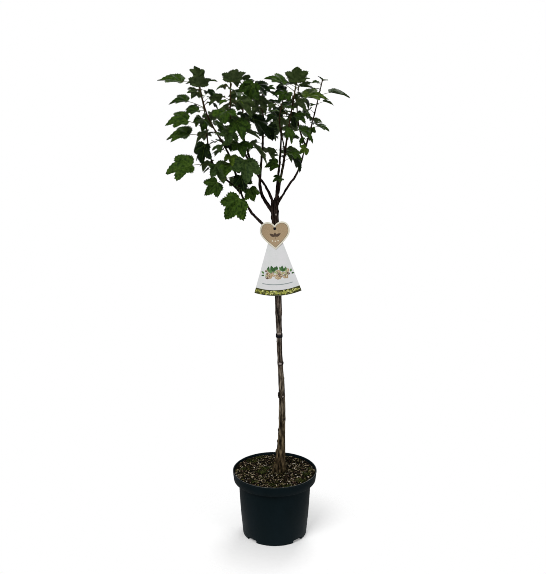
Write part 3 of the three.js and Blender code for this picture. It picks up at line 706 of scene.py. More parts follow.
def draw_tube(name, points, radii, rounding=4):
    """A round tube through points, in millimetres, with its own radius at each."""
    curve = bpy.data.curves.new(name, "CURVE")
    curve.dimensions = "3D"
    curve.bevel_depth = 1
    curve.bevel_resolution = rounding
    curve.use_fill_caps = True
    spline = curve.splines.new("POLY")
    spline.points.add(len(points) - 1)
    for knot, point, radius in zip(spline.points, points, radii):
        knot.co = (*(np.array(point) * MM), 1)
        knot.radius = radius * MM
    tube = bpy.data.objects.new(name, curve)
    bpy.context.collection.objects.link(tube)
    return tube


stem_path = Path(STEM_GUIDES)
paths = {"trunk": stem_path}
for limb in LIMBS:
    parent = paths[limb["parent"]]
    root = parent.at(parent.share_at_height(limb["height"])).tolist()
    paths[limb["name"]] = Path([root, *limb["guides"], limb["tip"]])


def stem_centre(z):
    """The middle of the stem at a height, in millimetres."""
    return stem_path.at(stem_path.share_at_height(z))


foot = stem_path.at(0)
stem_shares = np.linspace(0, 1, int(stem_path.length / WOOD_STEP))
stem_points = [stem_path.at(share) for share in stem_shares]
stem_points.insert(0, foot - (0, 0, STEM["sunk"]))
tubes = [draw_tube("stem", stem_points, [stem_radius(p[2]) for p in stem_points], rounding=6)]
for i in range(ROOTS["count"]):
    out = outwards(math.radians(ROOTS["turn"]) + math.tau * i / ROOTS["count"])
    line = []
    for t in np.linspace(0, 1, ROOTS["steps"]):
        away = mix(ROOTS["start"], ROOTS["reach"], t ** ROOTS["spread_power"])
        height = mix(ROOTS["rise"], -STEM["sunk"], t ** ROOTS["fall_power"])
        line.append(foot + out * away + (0, 0, height))
    tubes.append(draw_tube(f"root_{i}", line, np.linspace(*ROOTS["girth"], ROOTS["steps"])))
for limb in LIMBS:
    path = paths[limb["name"]]
    shares = np.linspace(0, limb["bare"], int(limb["bare"] * path.length / WOOD_STEP) + 2)
    radii = [limb_radius(limb, share) for share in shares]
    radii[:len(COLLAR)] = [radius * swell for radius, swell in zip(radii, COLLAR)]
    nodes_near = [abs(share * path.length / KINK["spacing"] % 1 - 0.5) * 2 for share in shares]
    swells = [1 + NODE_SWELL["share"] * near ** NODE_SWELL["sharpness"] for near in nodes_near]
    radii = [radius * swell for radius, swell in zip(radii, swells)]
    tubes.append(draw_tube("limb_" + limb["name"], [kinked(limb, share) for share in shares], radii))
knobs = list(FORK_KNOBS)
for z, out, radius in FOOT_KNOBS:
    centre = stem_centre(z)
    knobs.append((centre[0] - out, centre[1] - FOOT_KNOBS_FORWARD, z, radius))
for x, y, z, radius in knobs:
    bpy.ops.mesh.primitive_ico_sphere_add(
        subdivisions=3, radius=radius * MM, location=(x * MM, y * MM, z * MM)
    )
    bpy.context.object.scale = (1, 1, KNOB_STRETCH)
    tubes.append(bpy.context.object)
wood = join_as_mesh("stem_and_boughs", tubes)
apply_modifier(wood, "REMESH", mode="VOXEL", voxel_size=SKIN_VOXEL)
apply_modifier(wood, "SMOOTH", factor=0.5, iterations=3)


def carve_bark(piece, size, stretch, depth):
    """Raises and sinks the skin by a clouded pattern that is stretched along the height."""
    pattern = bpy.data.textures.new("bark_pattern", "CLOUDS")
    pattern.noise_scale = 1
    bpy.ops.object.empty_add(location=(0.3, 0.2, 0.1))
    gauge = bpy.context.object
    gauge.scale = (size, size, size * stretch)
    bpy.context.view_layer.update()
    apply_modifier(
        piece,
        "DISPLACE",
        texture=pattern,
        texture_coords="OBJECT",
        texture_coords_object=gauge,
        strength=depth,
        mid_level=0.5,
    )
    bpy.data.objects.remove(gauge)


for size, stretch, depth in BARK_RELIEFS:
    carve_bark(wood, size, stretch, depth)
ridges_end = STEM_GUIDES[0][2] + FOOT_RIDGES["heights_to_fade"] * FOOT_RIDGES["height"]
ridged_corners = [
    (vertex, vertex.co.copy(), vertex.normal.copy())
    for vertex in wood.data.vertices
    if vertex.co.z < ridges_end * MM
]
for vertex, corner, normal in ridged_corners:
    near_foot = math.exp(-max(0, corner.z / MM - STEM_GUIDES[0][2]) / FOOT_RIDGES["height"])
    place = corner / MM / FOOT_RIDGES["size"]
    place.z /= FOOT_RIDGES["stretch"]
    depth = noise.noise(place) + FOOT_RIDGES["fine_share"] * noise.noise(place * FOOT_RIDGES["fine_scale"])
    vertex.co = corner + normal * depth * near_foot * FOOT_RIDGES["depth"] * MM
select_only(wood)
bpy.ops.object.shade_smooth()

BARK_TINTS = [
    (0.165, (0.34, 0.31, 0.19)), (0.205, (0.53, 0.45, 0.3)), (0.26, (0.8, 0.73, 0.5)),
    (0.34, (0.92, 0.9, 0.76)), (0.56, (0.9, 0.89, 0.88)), (0.7, (0.63, 0.58, 0.57)),
    (0.81, (0.33, 0.27, 0.27)), (0.9, (0.14, 0.11, 0.11)), (1.0, (0.16, 0.13, 0.11)),
    (1.12, (0.34, 0.25, 0.18)),
]
BARK_BLOTCHES = {"tints": ((0.3, 0.27, 0.24), (1.35, 1.34, 1.32)), "scale": 170, "stretch": 3.2}
BLOTCH_SHARPNESS = 4


def shade_by_height(material, tints, blotches):
    """Multiplies a material's mottled colour by tints, each given with its height in metres.

    The blotches are broad dark and pale patches over them.
    """
    tree = material.node_tree
    links = tree.links
    low, high = tints[0][0], tints[-1][0]
    place = add_node(tree, "TexCoord")
    split = add_node(tree, "SeparateXYZ")
    rise = add_node(tree, "MapRange", {"From Min": low, "From Max": high})
    ramp = add_node(tree, "ValToRGB")
    stops = ramp.color_ramp.elements
    while len(stops) < len(tints):
        stops.new(0.5)
    for stop, (height, tint) in zip(stops, tints):
        stop.position = (height - low) / (high - low)
        stop.color = (*tint, 1)
    broad = add_mottle(tree, blotches["scale"], blotches["stretch"], BLOTCH_SHARPNESS, blotches["tints"])
    links.new(place.outputs["Object"], split.inputs["Vector"])
    links.new(split.outputs["Z"], rise.inputs["Value"])
    links.new(rise.outputs["Result"], ramp.inputs["Fac"])
    colour = tree.nodes["patches"].outputs["Color"]
    for source in (ramp, broad):
        tinted = add_node(tree, "Mix", {"Factor": 1}, data_type="RGBA", blend_type="MULTIPLY")
        links.new(colour, tinted.inputs["A"])
        links.new(source.outputs["Color"], tinted.inputs["B"])
        colour = tinted.outputs["Result"]
    links.new(colour, tree.nodes["Principled BSDF"].inputs["Base Color"])


bark = mottled_finish(
    "bark_grey_brown", (0.01, 0.0075, 0.006), (0.25, 0.212, 0.178),
    scale=300, stretch=10, sharpness=4.4, roughness=(0.78, 0.95), relief=(900, 0.0014), shine=0.03,
)
shade_by_height(bark, BARK_TINTS, BARK_BLOTCHES)
dress(wood, [bark], "bark", "trunk", *["bough_" + limb["name"] for limb in LIMBS])

# Old side shoots were cut from the stem and healed: an oval scar in a raised lip, pale or dark, turned a
# different way on each knuckle. Some are mere knobs or splits, and a pale callus lies above the tie.
SCARS = [
    {"z": 318, "bearing": -55, "size": 2.4, "tall": 1, "pale": False, "lip": 0.3},
    {"z": 380, "bearing": -72, "size": 2.8, "tall": 1.1, "pale": True, "lip": 0.3},
    {"z": 382, "bearing": 194, "size": 4.4, "tall": 1.4, "pale": False, "lip": 0.3},
    {"z": 426, "bearing": -8, "size": 2.8, "tall": 1.5, "pale": False, "lip": 0.3},
    {"z": 468, "bearing": -94, "size": 5, "tall": 0.8, "pale": True, "lip": 0.24},
    {"z": 469, "bearing": -34, "size": 3, "tall": 1.2, "pale": False, "lip": 0.3},
    {"z": 526, "bearing": 206, "size": 2.4, "tall": 1.1, "pale": True, "lip": 0.2},
    {"z": 547.5, "bearing": -90, "size": 6, "tall": 0.45, "pale": True, "lip": 0},
    {"z": 604, "bearing": -108, "size": 2.6, "tall": 3.4, "pale": False, "lip": 0.22},
    {"z": 600, "bearing": 95, "size": 3.6, "tall": 1.25, "pale": True, "lip": 0.3},
    {"z": 700, "bearing": 20, "size": 3.4, "tall": 1.25, "pale": True, "lip": 0.3},
    {"z": 790, "bearing": 160, "size": 3.6, "tall": 1.25, "pale": True, "lip": 0.3},
    {"z": 850, "bearing": -75, "size": 2.4, "tall": 1.3, "pale": True, "lip": 0},
]
SCAR = {"sunk": 0.4, "lip_rise": 0.8, "face": 0.86, "pale_rise": 0.28, "dark_rise": 0.5}
LIP_RELIEF = (0.003, 1, 0.0012)
scar_lips = []
scar_faces = {True: [], False: []}
for scar in SCARS:
    out = outwards(math.radians(scar["bearing"]))
    place = (stem_centre(scar["z"]) + out * (stem_radius(scar["z"]) - SCAR["sunk"])) * MM
    aim = Vector(out).to_track_quat("Z", "Y").to_euler()
    size = scar["size"] * MM
    if scar["lip"]:
        bpy.ops.mesh.primitive_torus_add(
            major_radius=size, minor_radius=size * scar["lip"], major_segments=24, minor_segments=8,
            location=place, rotation=aim,
        )
        bpy.context.object.scale = (1, scar["tall"], SCAR["lip_rise"])
        scar_lips.append(bpy.context.object)
    bpy.ops.mesh.primitive_uv_sphere_add(
        segments=20, ring_count=8, radius=size * SCAR["face"], location=place, rotation=aim
    )
    rise = SCAR["pale_rise"] if scar["pale"] else SCAR["dark_rise"]
    bpy.context.object.scale = (1, scar["tall"], rise)
    scar_faces[scar["pale"]].append(bpy.context.object)
lips = join_as_mesh("scar_lips", scar_lips)
pale_scars = join_as_mesh("pale_scars", scar_faces[True])
dark_scars = join_as_mesh("dark_scars", scar_faces[False])
carve_bark(lips, *LIP_RELIEF)
for piece in (lips, pale_scars, dark_scars):
    select_only(piece)
    bpy.ops.object.shade_smooth()
scar_bark = mottled_finish(
    "scar_bark", (0.006, 0.0045, 0.0035), (0.055, 0.043, 0.036),
    scale=400, sharpness=3, roughness=(0.8, 0.95), relief=(900, 0.0005), shine=0.06,
)
scar_wood = mottled_finish(
    "scar_wood", (0.14, 0.11, 0.095), (0.42, 0.37, 0.34),
    scale=500, sharpness=3, roughness=(0.75, 0.9), relief=(900, 0.0004), shine=0.08,
)
knot_wood = mottled_finish(
    "knot_wood", (0.003, 0.0022, 0.0018), (0.02, 0.015, 0.012),
    scale=400, sharpness=3, roughness=(0.85, 1), relief=(900, 0.0004), shine=0.04,
)
dress(lips, [scar_bark], "bark")
dress(pale_scars, [scar_wood], "bark")
dress(dark_scars, [knot_wood], "bark")

# A black tie is drawn snug round the stem half way up: a flat strap with rounded edges, closed by a
# small keeper at the back, with a lug at each side.
BAND = {"z": 540, "height": 7.4, "gap": 0.2, "thickness": 1.2, "rounding": 0.5}
KEEPER = {"out": 1.4, "size": (6, 3.2, 10.6)}
LUG = {"out": 0.1, "forward": 2.2, "up": 2.2, "size": (1.9, 5.2, 8.6)}
FITTING_ROUNDING = 0.7


def ring_round_stem(ring):
    """A flat ring that is drawn round the stem at its height z; its sizes are in millimetres."""
    bpy.ops.mesh.primitive_cylinder_add(
        vertices=48,
        radius=(stem_radius(ring["z"]) + ring["gap"] + ring["thickness"]) * MM,
        depth=ring["height"] * MM,
        end_fill_type="NOTHING",
        location=stem_centre(ring["z"]) * MM,
    )
    strap = bpy.context.object
    apply_modifier(strap, "SOLIDIFY", thickness=ring["thickness"] * MM, offset=-1)
    round_edges(strap, ring["rounding"] * MM)
    return strap


band_parts = [ring_round_stem(BAND)]
band_inner = stem_radius(BAND["z"]) + BAND["gap"]
blocks = [((0, band_inner + KEEPER["out"], 0), KEEPER["size"])]
for side in (-1, 1):
    blocks.append(((side * (band_inner + LUG["out"]), -LUG["forward"], LUG["up"]), LUG["size"]))
for place, size in blocks:
    bpy.ops.mesh.primitive_cube_add(
        size=1, location=(stem_centre(BAND["z"]) + place) * MM, scale=np.array(size) * MM
    )
    block = bpy.context.object
    bpy.ops.object.transform_apply(location=True, rotation=True, scale=True)
    apply_modifier(block, "BEVEL", width=FITTING_ROUNDING * MM, segments=2)
    band_parts.append(block)
band = join_as_mesh("stem_tie", band_parts)
shade_by_angle(band, 40)
tie_plastic = mottled_finish(
    "tie_plastic", (0.0035, 0.0035, 0.005), (0.008, 0.008, 0.011),
    scale=160, sharpness=1.4, roughness=(0.42, 0.56), relief=(900, 0.00015), shine=0.08,
)
dress(band, [tie_plastic], "tie_plastic", "stem_band")

# The label hangs in front of the stem just under the fork: a heart of kraft board with a cream edge and a
# printed sprig, over a bowed fan of white card that is printed with berries, a plain bar and a strip.
# Sizes are in millimetres, for the heart about the hole it hangs by and for the fan as radii.
LABEL = {
    "hole_z": 817, "across": -0.5, "stand_off": 18, "tilt": 3, "thickness": 0.8, "rounding": 0.16,
}
HEART = {
    "half": 36.5, "tip": -52, "cleft": 7.5, "crown": 21.5, "shoulder": -6, "waist": -21, "point": 14,
    "cleft_pull": 0.25, "tip_pull": 0.42,
}
HEART_EDGE = {"cream": 3.6, "line": 0.8}
HOLE = {"radius": 2.2, "sides": 32, "depth": 4}
FAN = {"apex": 20, "outer": 189, "inner": 15, "half_angle": 18.1, "bow": 5, "gap": 0.3, "rounding": 0.12}
PICTURE = {"inner": 113, "middle": 131}
PLAIN_BAR = {"inner": 159.6, "outer": 161.6, "half_width": 31}
FOOT_STRIP = {"inner": 174.5, "outer": 188.7}
PRINT_LIFT = 0.12
label_hang = (
    Matrix.Translation((LABEL["across"], -LABEL["stand_off"], LABEL["hole_z"]))
    @ Matrix.Rotation(-math.radians(LABEL["tilt"]), 4, "Y")
)


def on_heart(x, z, lift=0):
    """A point on the heart's front in metres, from its place in millimetres about the hole."""
    return tuple(label_hang @ Vector((x, -LABEL["thickness"] - lift, z)) * MM)


def on_fan(x, radius, lift=0):
    """A point on the fan's front in metres; x runs along the arc at the picture's middle."""
    angle = x / PICTURE["middle"]
    part = angle / math.radians(FAN["half_angle"])
    bow = FAN["bow"] * part * part * radius / FAN["outer"]
    depth = FAN["gap"] + bow - lift
    height = FAN["apex"] - radius * math.cos(angle)
    return tuple(label_hang @ Vector((radius * math.sin(angle), depth, height)) * MM)


def outward(piece):
    """Turns all the faces of a closed mesh outwards."""
    select_only(piece)
    bpy.ops.object.mode_set(mode="EDIT")
    close_body(piece)


def assign_selected(piece, slot):
    """Gives the faces selected in edit mode one of the piece's finishes."""
    piece.active_material_index = slot
    bpy.ops.object.material_slot_assign()


outline = bpy.data.curves.new("heart_outline", "CURVE")
outline.dimensions = "2D"
outline.fill_mode = "BOTH"
outline.resolution_u = 16
spline = outline.splines.new("BEZIER")
spline.bezier_points.add(3)
spline.use_cyclic_u = True
half, crown, tip = HEART["half"], HEART["crown"], HEART["tip"]
point_reach = tip + HEART["point"]
cleft_reach = half * HEART["cleft_pull"]
tip_reach = half * HEART["tip_pull"]
knots = [
    ((0, HEART["cleft"]), (-cleft_reach, crown), (cleft_reach, crown)),
    ((half, HEART["shoulder"]), (half, crown), (half, HEART["waist"])),
    ((0, tip), (tip_reach, point_reach), (-tip_reach, point_reach)),
    ((-half, HEART["shoulder"]), (-half, HEART["waist"]), (-half, crown)),
]
for knot, (place, before, after) in zip(spline.bezier_points, knots):
    knot.handle_left_type = knot.handle_right_type = "FREE"
    knot.co = (*place, 0)
    knot.handle_left = (*before, 0)
    knot.handle_right = (*after, 0)
heart = bpy.data.objects.new("label_board", outline)
bpy.context.collection.objects.link(heart)
select_only(heart)
bpy.ops.object.convert(target="MESH")
add_slots(heart, 3)
bpy.ops.object.mode_set(mode="EDIT")
bpy.ops.mesh.select_all(action="SELECT")
bpy.ops.mesh.remove_doubles(threshold=0.01)
bpy.ops.mesh.normals_make_consistent(inside=False)
bpy.ops.mesh.dissolve_limited(angle_limit=0.01)
bpy.ops.mesh.select_all(action="SELECT")
bpy.ops.mesh.inset(thickness=HEART_EDGE["cream"])
assign_selected(heart, 1)
bpy.ops.mesh.inset(thickness=HEART_EDGE["line"])
assign_selected(heart, 2)
bpy.ops.object.mode_set(mode="OBJECT")
if heart.data.polygons[0].normal.z < 0:
    heart.data.flip_normals()
apply_modifier(heart, "SOLIDIFY", thickness=LABEL["thickness"], offset=-1, use_even_offset=False)
bpy.ops.mesh.primitive_cylinder_add(vertices=HOLE["sides"], radius=HOLE["radius"], depth=HOLE["depth"])
cut_away(heart, bpy.context.object)
round_edges(heart, LABEL["rounding"], from_angle=0.8)
to_front = Matrix.Translation((0, -LABEL["thickness"], 0)) @ Matrix.Rotation(math.pi / 2, 4, "X")
heart.data.transform(Matrix.Scale(MM, 4) @ label_hang @ to_front)
shade_by_angle(heart, 30)
kraft_board = mottled_finish(
    "kraft_board", (0.33, 0.235, 0.135), (0.45, 0.335, 0.21),
    scale=420, sharpness=2.2, roughness=(0.78, 0.92), relief=(900, 0.0001),
)
cream_edge = mottled_finish(
    "cream_edge", (0.66, 0.62, 0.49), (0.76, 0.72, 0.6), scale=300, sharpness=1.5, roughness=(0.7, 0.85)
)
dark_line = mottled_finish(
    "dark_line", (0.07, 0.046, 0.028), (0.12, 0.085, 0.055), scale=300, sharpness=1.5, roughness=(0.7, 0.85)
)
dress(heart, [cream_edge, dark_line, kraft_board], "kraft_board", "label_heart")

BEAN = {"left": (0.03, 0.22, 0.45, 0.7, 1), "right": (0.8, 0.55, 0.3, 0.1), "fullness": 0.8}


def bean(x, y, turn, length, width):
    """The outline of a small pointed leaf, from its foot, in flat millimetres."""
    along = (math.cos(math.radians(turn)), math.sin(math.radians(turn)))
    outline = []
    for side, places in ((1, BEAN["left"]), (-1, BEAN["right"])):
        for place in places:
            out = side * width / 2 * math.sin(math.pi * place ** BEAN["fullness"])
            outline.append((
                x + along[0] * place * length - along[1] * out,
                y + along[1] * place * length + along[0] * out,
            ))
    return outline


def disc(x, y, radius):
    """The outline of a small round berry in flat millimetres."""
    turns = [math.tau * i / 12 for i in range(12)]
    return [(x + radius * math.cos(turn), y + radius * math.sin(turn)) for turn in turns]


def stepped_lift(first, step, count):
    """How far a mark stands out: a share of the print's lift that grows by a step for each count."""
    return PRINT_LIFT * (first + step * count)


def printed(name, marks, surface, finishes, slot):
    """Thin raised marks on a surface: each is an outline, its finish and how far it stands out."""
    points = []
    faces = []
    finish_of_face = []
    for outline, finish, lift in marks:
        first = len(points)
        count = len(outline)
        points += [surface(x, y, lift) for x, y in outline]
        points += [surface(x, y, -PRINT_LIFT / 2) for x, y in outline]
        faces.append(tuple(range(first, first + count)))
        faces.append(tuple(range(first + 2 * count - 1, first + count - 1, -1)))
        for i in range(count):
            k = (i + 1) % count
            faces.append((first + i, first + count + i, first + count + k, first + k))
        finish_of_face += [finish] * (count + 2)
    piece = piece_from_arrays(name, points, faces, finish_of_face)
    outward(piece)
    dress(piece, finishes, slot)


# On the heart is a plain sprig of three leaves above three cream dots. Each leaf stands out by its own
# small step, so that none lies level with its neighbour.
SPRIG_LEAVES = [(-0.9, 150, 15), (0, 90, 11), (0.9, 30, 15)]
SPRIG = {"foot": -25.5, "top": -19, "half_stalk": 0.6, "fork": -20.5, "leaf_width": 7, "lift": (2, 1)}
SPRIG_DOTS = {"across": (-7, 0, 7), "height": -31.5, "arch": 0.2, "radius": 1.8}
BROWN_INK, CREAM_INK = 0, 1

foot, top, side = SPRIG["foot"], SPRIG["top"], SPRIG["half_stalk"]
sprig = [([(side, foot), (side, top), (-side, top), (-side, foot)], BROWN_INK, PRINT_LIFT)]
for x, turn, length in SPRIG_LEAVES:
    leaf = bean(x, SPRIG["fork"] + abs(x), turn, length, SPRIG["leaf_width"])
    sprig.append((leaf, BROWN_INK, stepped_lift(*SPRIG["lift"], x)))
for x in SPRIG_DOTS["across"]:
    dot = disc(x, SPRIG_DOTS["height"] + abs(x) * SPRIG_DOTS["arch"], SPRIG_DOTS["radius"])
    sprig.append((dot, CREAM_INK, PRINT_LIFT))
heart_inks = [
    mottled_finish(
        "print_brown", (0.06, 0.036, 0.024), (0.1, 0.065, 0.045),
        scale=500, sharpness=1.5, roughness=(0.7, 0.85),
    ),
    mottled_finish(
        "print_cream", (0.6, 0.55, 0.42), (0.72, 0.67, 0.54),
        scale=500, sharpness=1.5, roughness=(0.7, 0.85),
    ),
]
printed("label_sprig", sprig, on_heart, heart_inks, "kraft_board")


def laid_on_fan(name, sizes, rows, lift, thickness):
    """A thin sheet that follows the bowed card between two radii, as wide as the card or narrower."""
    bpy.ops.mesh.primitive_grid_add(x_subdivisions=36, y_subdivisions=rows, size=2)
    sheet = bpy.context.object
    sheet.name = name
    half = sizes.get("half_width", math.radians(FAN["half_angle"]) * PICTURE["middle"])
    for vertex in sheet.data.vertices:
        radius = mix(sizes["outer"], sizes["inner"], (vertex.co.y + 1) / 2)
        vertex.co = on_fan(vertex.co.x * half, radius, lift)
    apply_modifier(sheet, "SOLIDIFY", thickness=thickness * MM, offset=-1)
    outward(sheet)
    return sheet


def before_hole(out):
    """A place in metres on the line through the label's hole, so many millimetres to the front."""
    return (LABEL["across"] * MM, -out * MM, LABEL["hole_z"] * MM)


fan = laid_on_fan("label_card", FAN, rows=30, lift=0, thickness=LABEL["thickness"])
bpy.ops.mesh.primitive_cylinder_add(
    vertices=HOLE["sides"],
    radius=HOLE["radius"] * MM,
    depth=HOLE["depth"] * MM,
    location=before_hole(LABEL["stand_off"]),
    rotation=(math.pi / 2, 0, 0),
)
cut_away(fan, bpy.context.object)
round_edges(fan, FAN["rounding"] * MM, from_angle=0.9)
shade_by_angle(fan, 30)
white_card = mottled_finish(
    "white_card", (0.64, 0.67, 0.65), (0.74, 0.72, 0.745),
    scale=34, sharpness=1.8, roughness=(0.38, 0.5), relief=(900, 0.00003), shine=0.3,
)
dress(fan, [white_card], "white_card", "label_fan")

hedge_green = mottled_finish(
    "print_hedge", (0.008, 0.009, 0.003), (0.075, 0.08, 0.018), scale=230, sharpness=3, roughness=(0.4, 0.5)
)
plain_grey = mottled_finish(
    "print_grey", (0.2, 0.25, 0.25), (0.36, 0.4, 0.4), scale=300, sharpness=2, roughness=(0.4, 0.5)
)
for name, sizes, rows, ink in (
    ("label_foot_strip", FOOT_STRIP, 4, hedge_green),
    ("label_plain_bar", PLAIN_BAR, 2, plain_grey),
):
    sheet = laid_on_fan(name, sizes, rows, PRINT_LIFT, thickness=0.9 * PRINT_LIFT)
    dress(sheet, [ink], "white_card")

# The strip is strewn with small leaves, greener at the left and yellower at the right, and the picture
# is a plain drawing of three bunches of berries with leaves between them. A bunch's row gives its middle
# and its number of berries, and a leaf's row its foot, its turn and its length.
STREWN = {
    "count": 150, "across": (-40.5, 37), "margin": 1, "length": (3.4, 5.6), "width": 0.5, "turn": 70,
    "left_shares": (0.45, 0.4, 0.15), "right_shares": (0.2, 0.35, 0.45), "lift": (1.15, 0.005), "seed": 8,
}
BUNCHES = [(-19, 26), (2, 30), (22, 26)]
BUNCH = {
    "spread": 10.5, "arc_start": 0.2, "arc_length": 0.7, "fullness": 0.8, "top": 12, "height": 20,
    "shares": (0.6, 0.14, 0.26), "seed": 5,
}
BERRY = {"radius": 2.9, "lift": (1, 0.02)}
GLINT = {"radius": 0.7, "left": 0.8, "up": 0.9, "lift": (1.3, 0.02)}
PICTURE_LEAVES = [
    (-31, 22, -150, 9), (-10, 15, -62, 15), (-10, 15, -112, 17), (-11, 16, -160, 15), (-23, 14, -85, 12),
    (12, 15, -75, 15), (12, 15, -28, 13), (13, 14, -118, 13), (33, 21, -62, 9), (24, 14, -96, 10),
    (0, 11, -90, 11), (-30, 26, 160, 7), (34, 25, 10, 7),
]
PICTURE_LEAF = {"width": 0.58, "lift": (1.7, 0.02)}
LEAF_INK, YOUNG_LEAF_INK, GLINT_INK = 3, 4, 5
CARD_INKS = {
    "olive": ((0.09, 0.1, 0.02), (0.17, 0.18, 0.04), 300),
    "lime": ((0.28, 0.3, 0.05), (0.45, 0.46, 0.09), 300),
    "yellow": ((0.55, 0.55, 0.16), (0.75, 0.74, 0.35), 300),
    "berry": ((0.32, 0.21, 0.1), (0.55, 0.42, 0.26), 300),
    "green_berry": ((0.26, 0.33, 0.12), (0.42, 0.48, 0.24), 300),
    "ripe_berry": ((0.09, 0.055, 0.04), (0.2, 0.13, 0.09), 300),
    "leaf": ((0.02, 0.07, 0.02), (0.06, 0.15, 0.045), 240),
    "young_leaf": ((0.07, 0.17, 0.05), (0.16, 0.29, 0.11), 240),
    "glint": ((0.7, 0.64, 0.5), (0.82, 0.77, 0.66), 240),
}


def card_inks(*names):
    """The printed colours of the card that are named."""
    return [
        mottled_finish("print_" + name, *CARD_INKS[name], sharpness=2, roughness=(0.4, 0.5))
        for name in names
    ]


strewn = []
chance = np.random.default_rng(STREWN["seed"])
low, high = FOOT_STRIP["inner"], FOOT_STRIP["outer"]
for i in range(STREWN["count"]):
    share = (i + 0.5) / STREWN["count"]
    x = mix(*STREWN["across"], share)
    y = mix(low + STREWN["margin"], high - STREWN["margin"], float(chance.uniform(0, 1)))
    length = float(chance.uniform(*STREWN["length"]))
    inward = 180 if y > (low + high) / 2 else 0
    turn = 90 + inward + float(chance.uniform(-STREWN["turn"], STREWN["turn"]))
    shares = mix(np.array(STREWN["left_shares"]), np.array(STREWN["right_shares"]), share)
    leaf = bean(x, y, turn, length, length * STREWN["width"])
    strewn.append((leaf, int(chance.choice(3, p=shares)), stepped_lift(*STREWN["lift"], i)))
printed("label_strewn_leaves", strewn, on_fan, card_inks("olive", "lime", "yellow"), "white_card")

picture = []
chance = np.random.default_rng(BUNCH["seed"])
for middle, count in BUNCHES:
    for i in range(count):
        share = i / (count - 1)
        arc = BUNCH["arc_start"] + BUNCH["arc_length"] * share
        spread = BUNCH["spread"] * math.sin(math.pi * arc) ** BUNCH["fullness"]
        x = middle + float(chance.uniform(-spread, spread))
        y = PICTURE["inner"] + BUNCH["top"] + BUNCH["height"] * share
        shade = int(chance.choice(3, p=BUNCH["shares"]))
        glint = disc(x - GLINT["left"], y - GLINT["up"], GLINT["radius"])
        picture.append((disc(x, y, BERRY["radius"]), shade, stepped_lift(*BERRY["lift"], i)))
        picture.append((glint, GLINT_INK, stepped_lift(*GLINT["lift"], i)))
for x, y, turn, length in PICTURE_LEAVES:
    leaf = bean(x, PICTURE["inner"] + y, turn, length, length * PICTURE_LEAF["width"])
    ink = LEAF_INK if (x + length) % 2 else YOUNG_LEAF_INK
    picture.append((leaf, ink, stepped_lift(*PICTURE_LEAF["lift"], length)))
picture_inks = card_inks("berry", "green_berry", "ripe_berry", "leaf", "young_leaf", "glint")
printed("label_picture", picture, on_fan, picture_inks, "white_card")

# A black plastic tie holds heart and fan: a loop round the stem, and a pin with a domed head that comes
# through the hole in the board.
LABEL_LOOP = {"z": LABEL["hole_z"], "gap": 0.6, "thickness": 1.4, "height": 3, "rounding": 0.4}
PIN = {"radius": 1.3, "sunk": 0.5, "out": 0.3, "head": 3.3, "dome": 1.2}

loop = ring_round_stem(LABEL_LOOP)
loop_inner = stem_radius(LABEL_LOOP["z"]) + LABEL_LOOP["gap"]
pin_end = LABEL["stand_off"] + LABEL["thickness"] + PIN["out"]
bpy.ops.mesh.primitive_cylinder_add(
    vertices=24,
    radius=PIN["radius"] * MM,
    depth=(pin_end - loop_inner) * MM,
    location=before_hole((pin_end + loop_inner) / 2 + PIN["sunk"]),
    rotation=(math.pi / 2, 0, 0),
)
pin = bpy.context.object
bpy.ops.mesh.primitive_uv_sphere_add(
    segments=32,
    ring_count=16,
    radius=PIN["head"] * MM,
    location=before_hole(pin_end + PIN["dome"] / 2),
    rotation=(math.pi / 2, 0, 0),
    scale=(1, 1, 0.5 * PIN["dome"] / PIN["head"]),
)
tie = join_as_mesh("label_fastener", [loop, pin, bpy.context.object])
shade_by_angle(tie, 40)
dress(tie, [tie_plastic], "tie_plastic", "label_tie")

# The crown carries on from the boughs as thin shoots with lobed, toothed leaves on arching stalks. Each
# limb's outlying leaves are set one by one, and all the others come from the seeded rule of the solids.
# An outlying leaf's row gives its limb, the share of its length where the stalk springs, the blade's
# foot, its bearing, droop and roll, its size and its tint.
OUTLYING_LEAVES = [
    ("outer_left", 1.0, (-225, 30, 1165), (180, -10, -20), 58, 1),
    ("outer_left", 0.8, (-210, 5, 1120), (180, -5, -20), 44, 0),
    ("outer_left", 0.62, (-210, -5, 1075), (180, 0, -35), 54, 1),
    ("outer_left", 0.56, (-210, 25, 1040), (165, 0, -30), 60, 1),
    ("outer_left", 0.32, (-200, -20, 970), (180, 10, -45), 66, 1),
    ("outer_left", 0.42, (-165, -40, 1020), (180, 75, -60), 46, 2),
    ("low_left", 0.98, (-175, -70, 1175), (-105, -65, 0), 32, 1),
    ("low_left", 0.94, (-170, -85, 1155), (-85, -45, 0), 44, 1),
    ("low_left", 0.44, (-135, -80, 935), (-155, 40, -70), 42, 0),
    ("low_left", 0.36, (-85, -65, 895), (180, 55, -85), 62, 1),
    ("low_left", 0.36, (-60, -30, 915), (0, 70, 75), 34, 1),
    ("mid_left", 0.94, (-95, -120, 1165), (-80, -45, 0), 46, 0),
    ("twin_left", 0.86, (-50, -35, 1160), (180, 65, -70), 50, 0),
    ("upright", 0.92, (20, -45, 1160), (180, -30, -20), 46, 1),
    ("upright", 0.88, (25, -25, 1145), (180, 15, -30), 34, 2),
    ("upright", 0.94, (50, -55, 1165), (-95, -55, 0), 46, 1),
    ("upright", 0.84, (70, -55, 1130), (0, -10, 20), 54, 3),
    ("upright", 0.42, (40, -40, 1000), (-20, 20, 20), 30, 1),
    ("upright", 0.32, (5, -35, 975), (180, 10, -45), 32, 0),
    ("upright", 0.32, (15, -25, 940), (-145, 5, -30), 24, 0),
    ("right", 0.88, (135, 45, 1140), (0, 0, 10), 48, 0),
    ("right", 0.64, (105, 30, 1060), (0, 15, 15), 30, 1),
    ("right", 0.52, (75, 0, 1010), (-135, 25, -60), 24, 3),
]
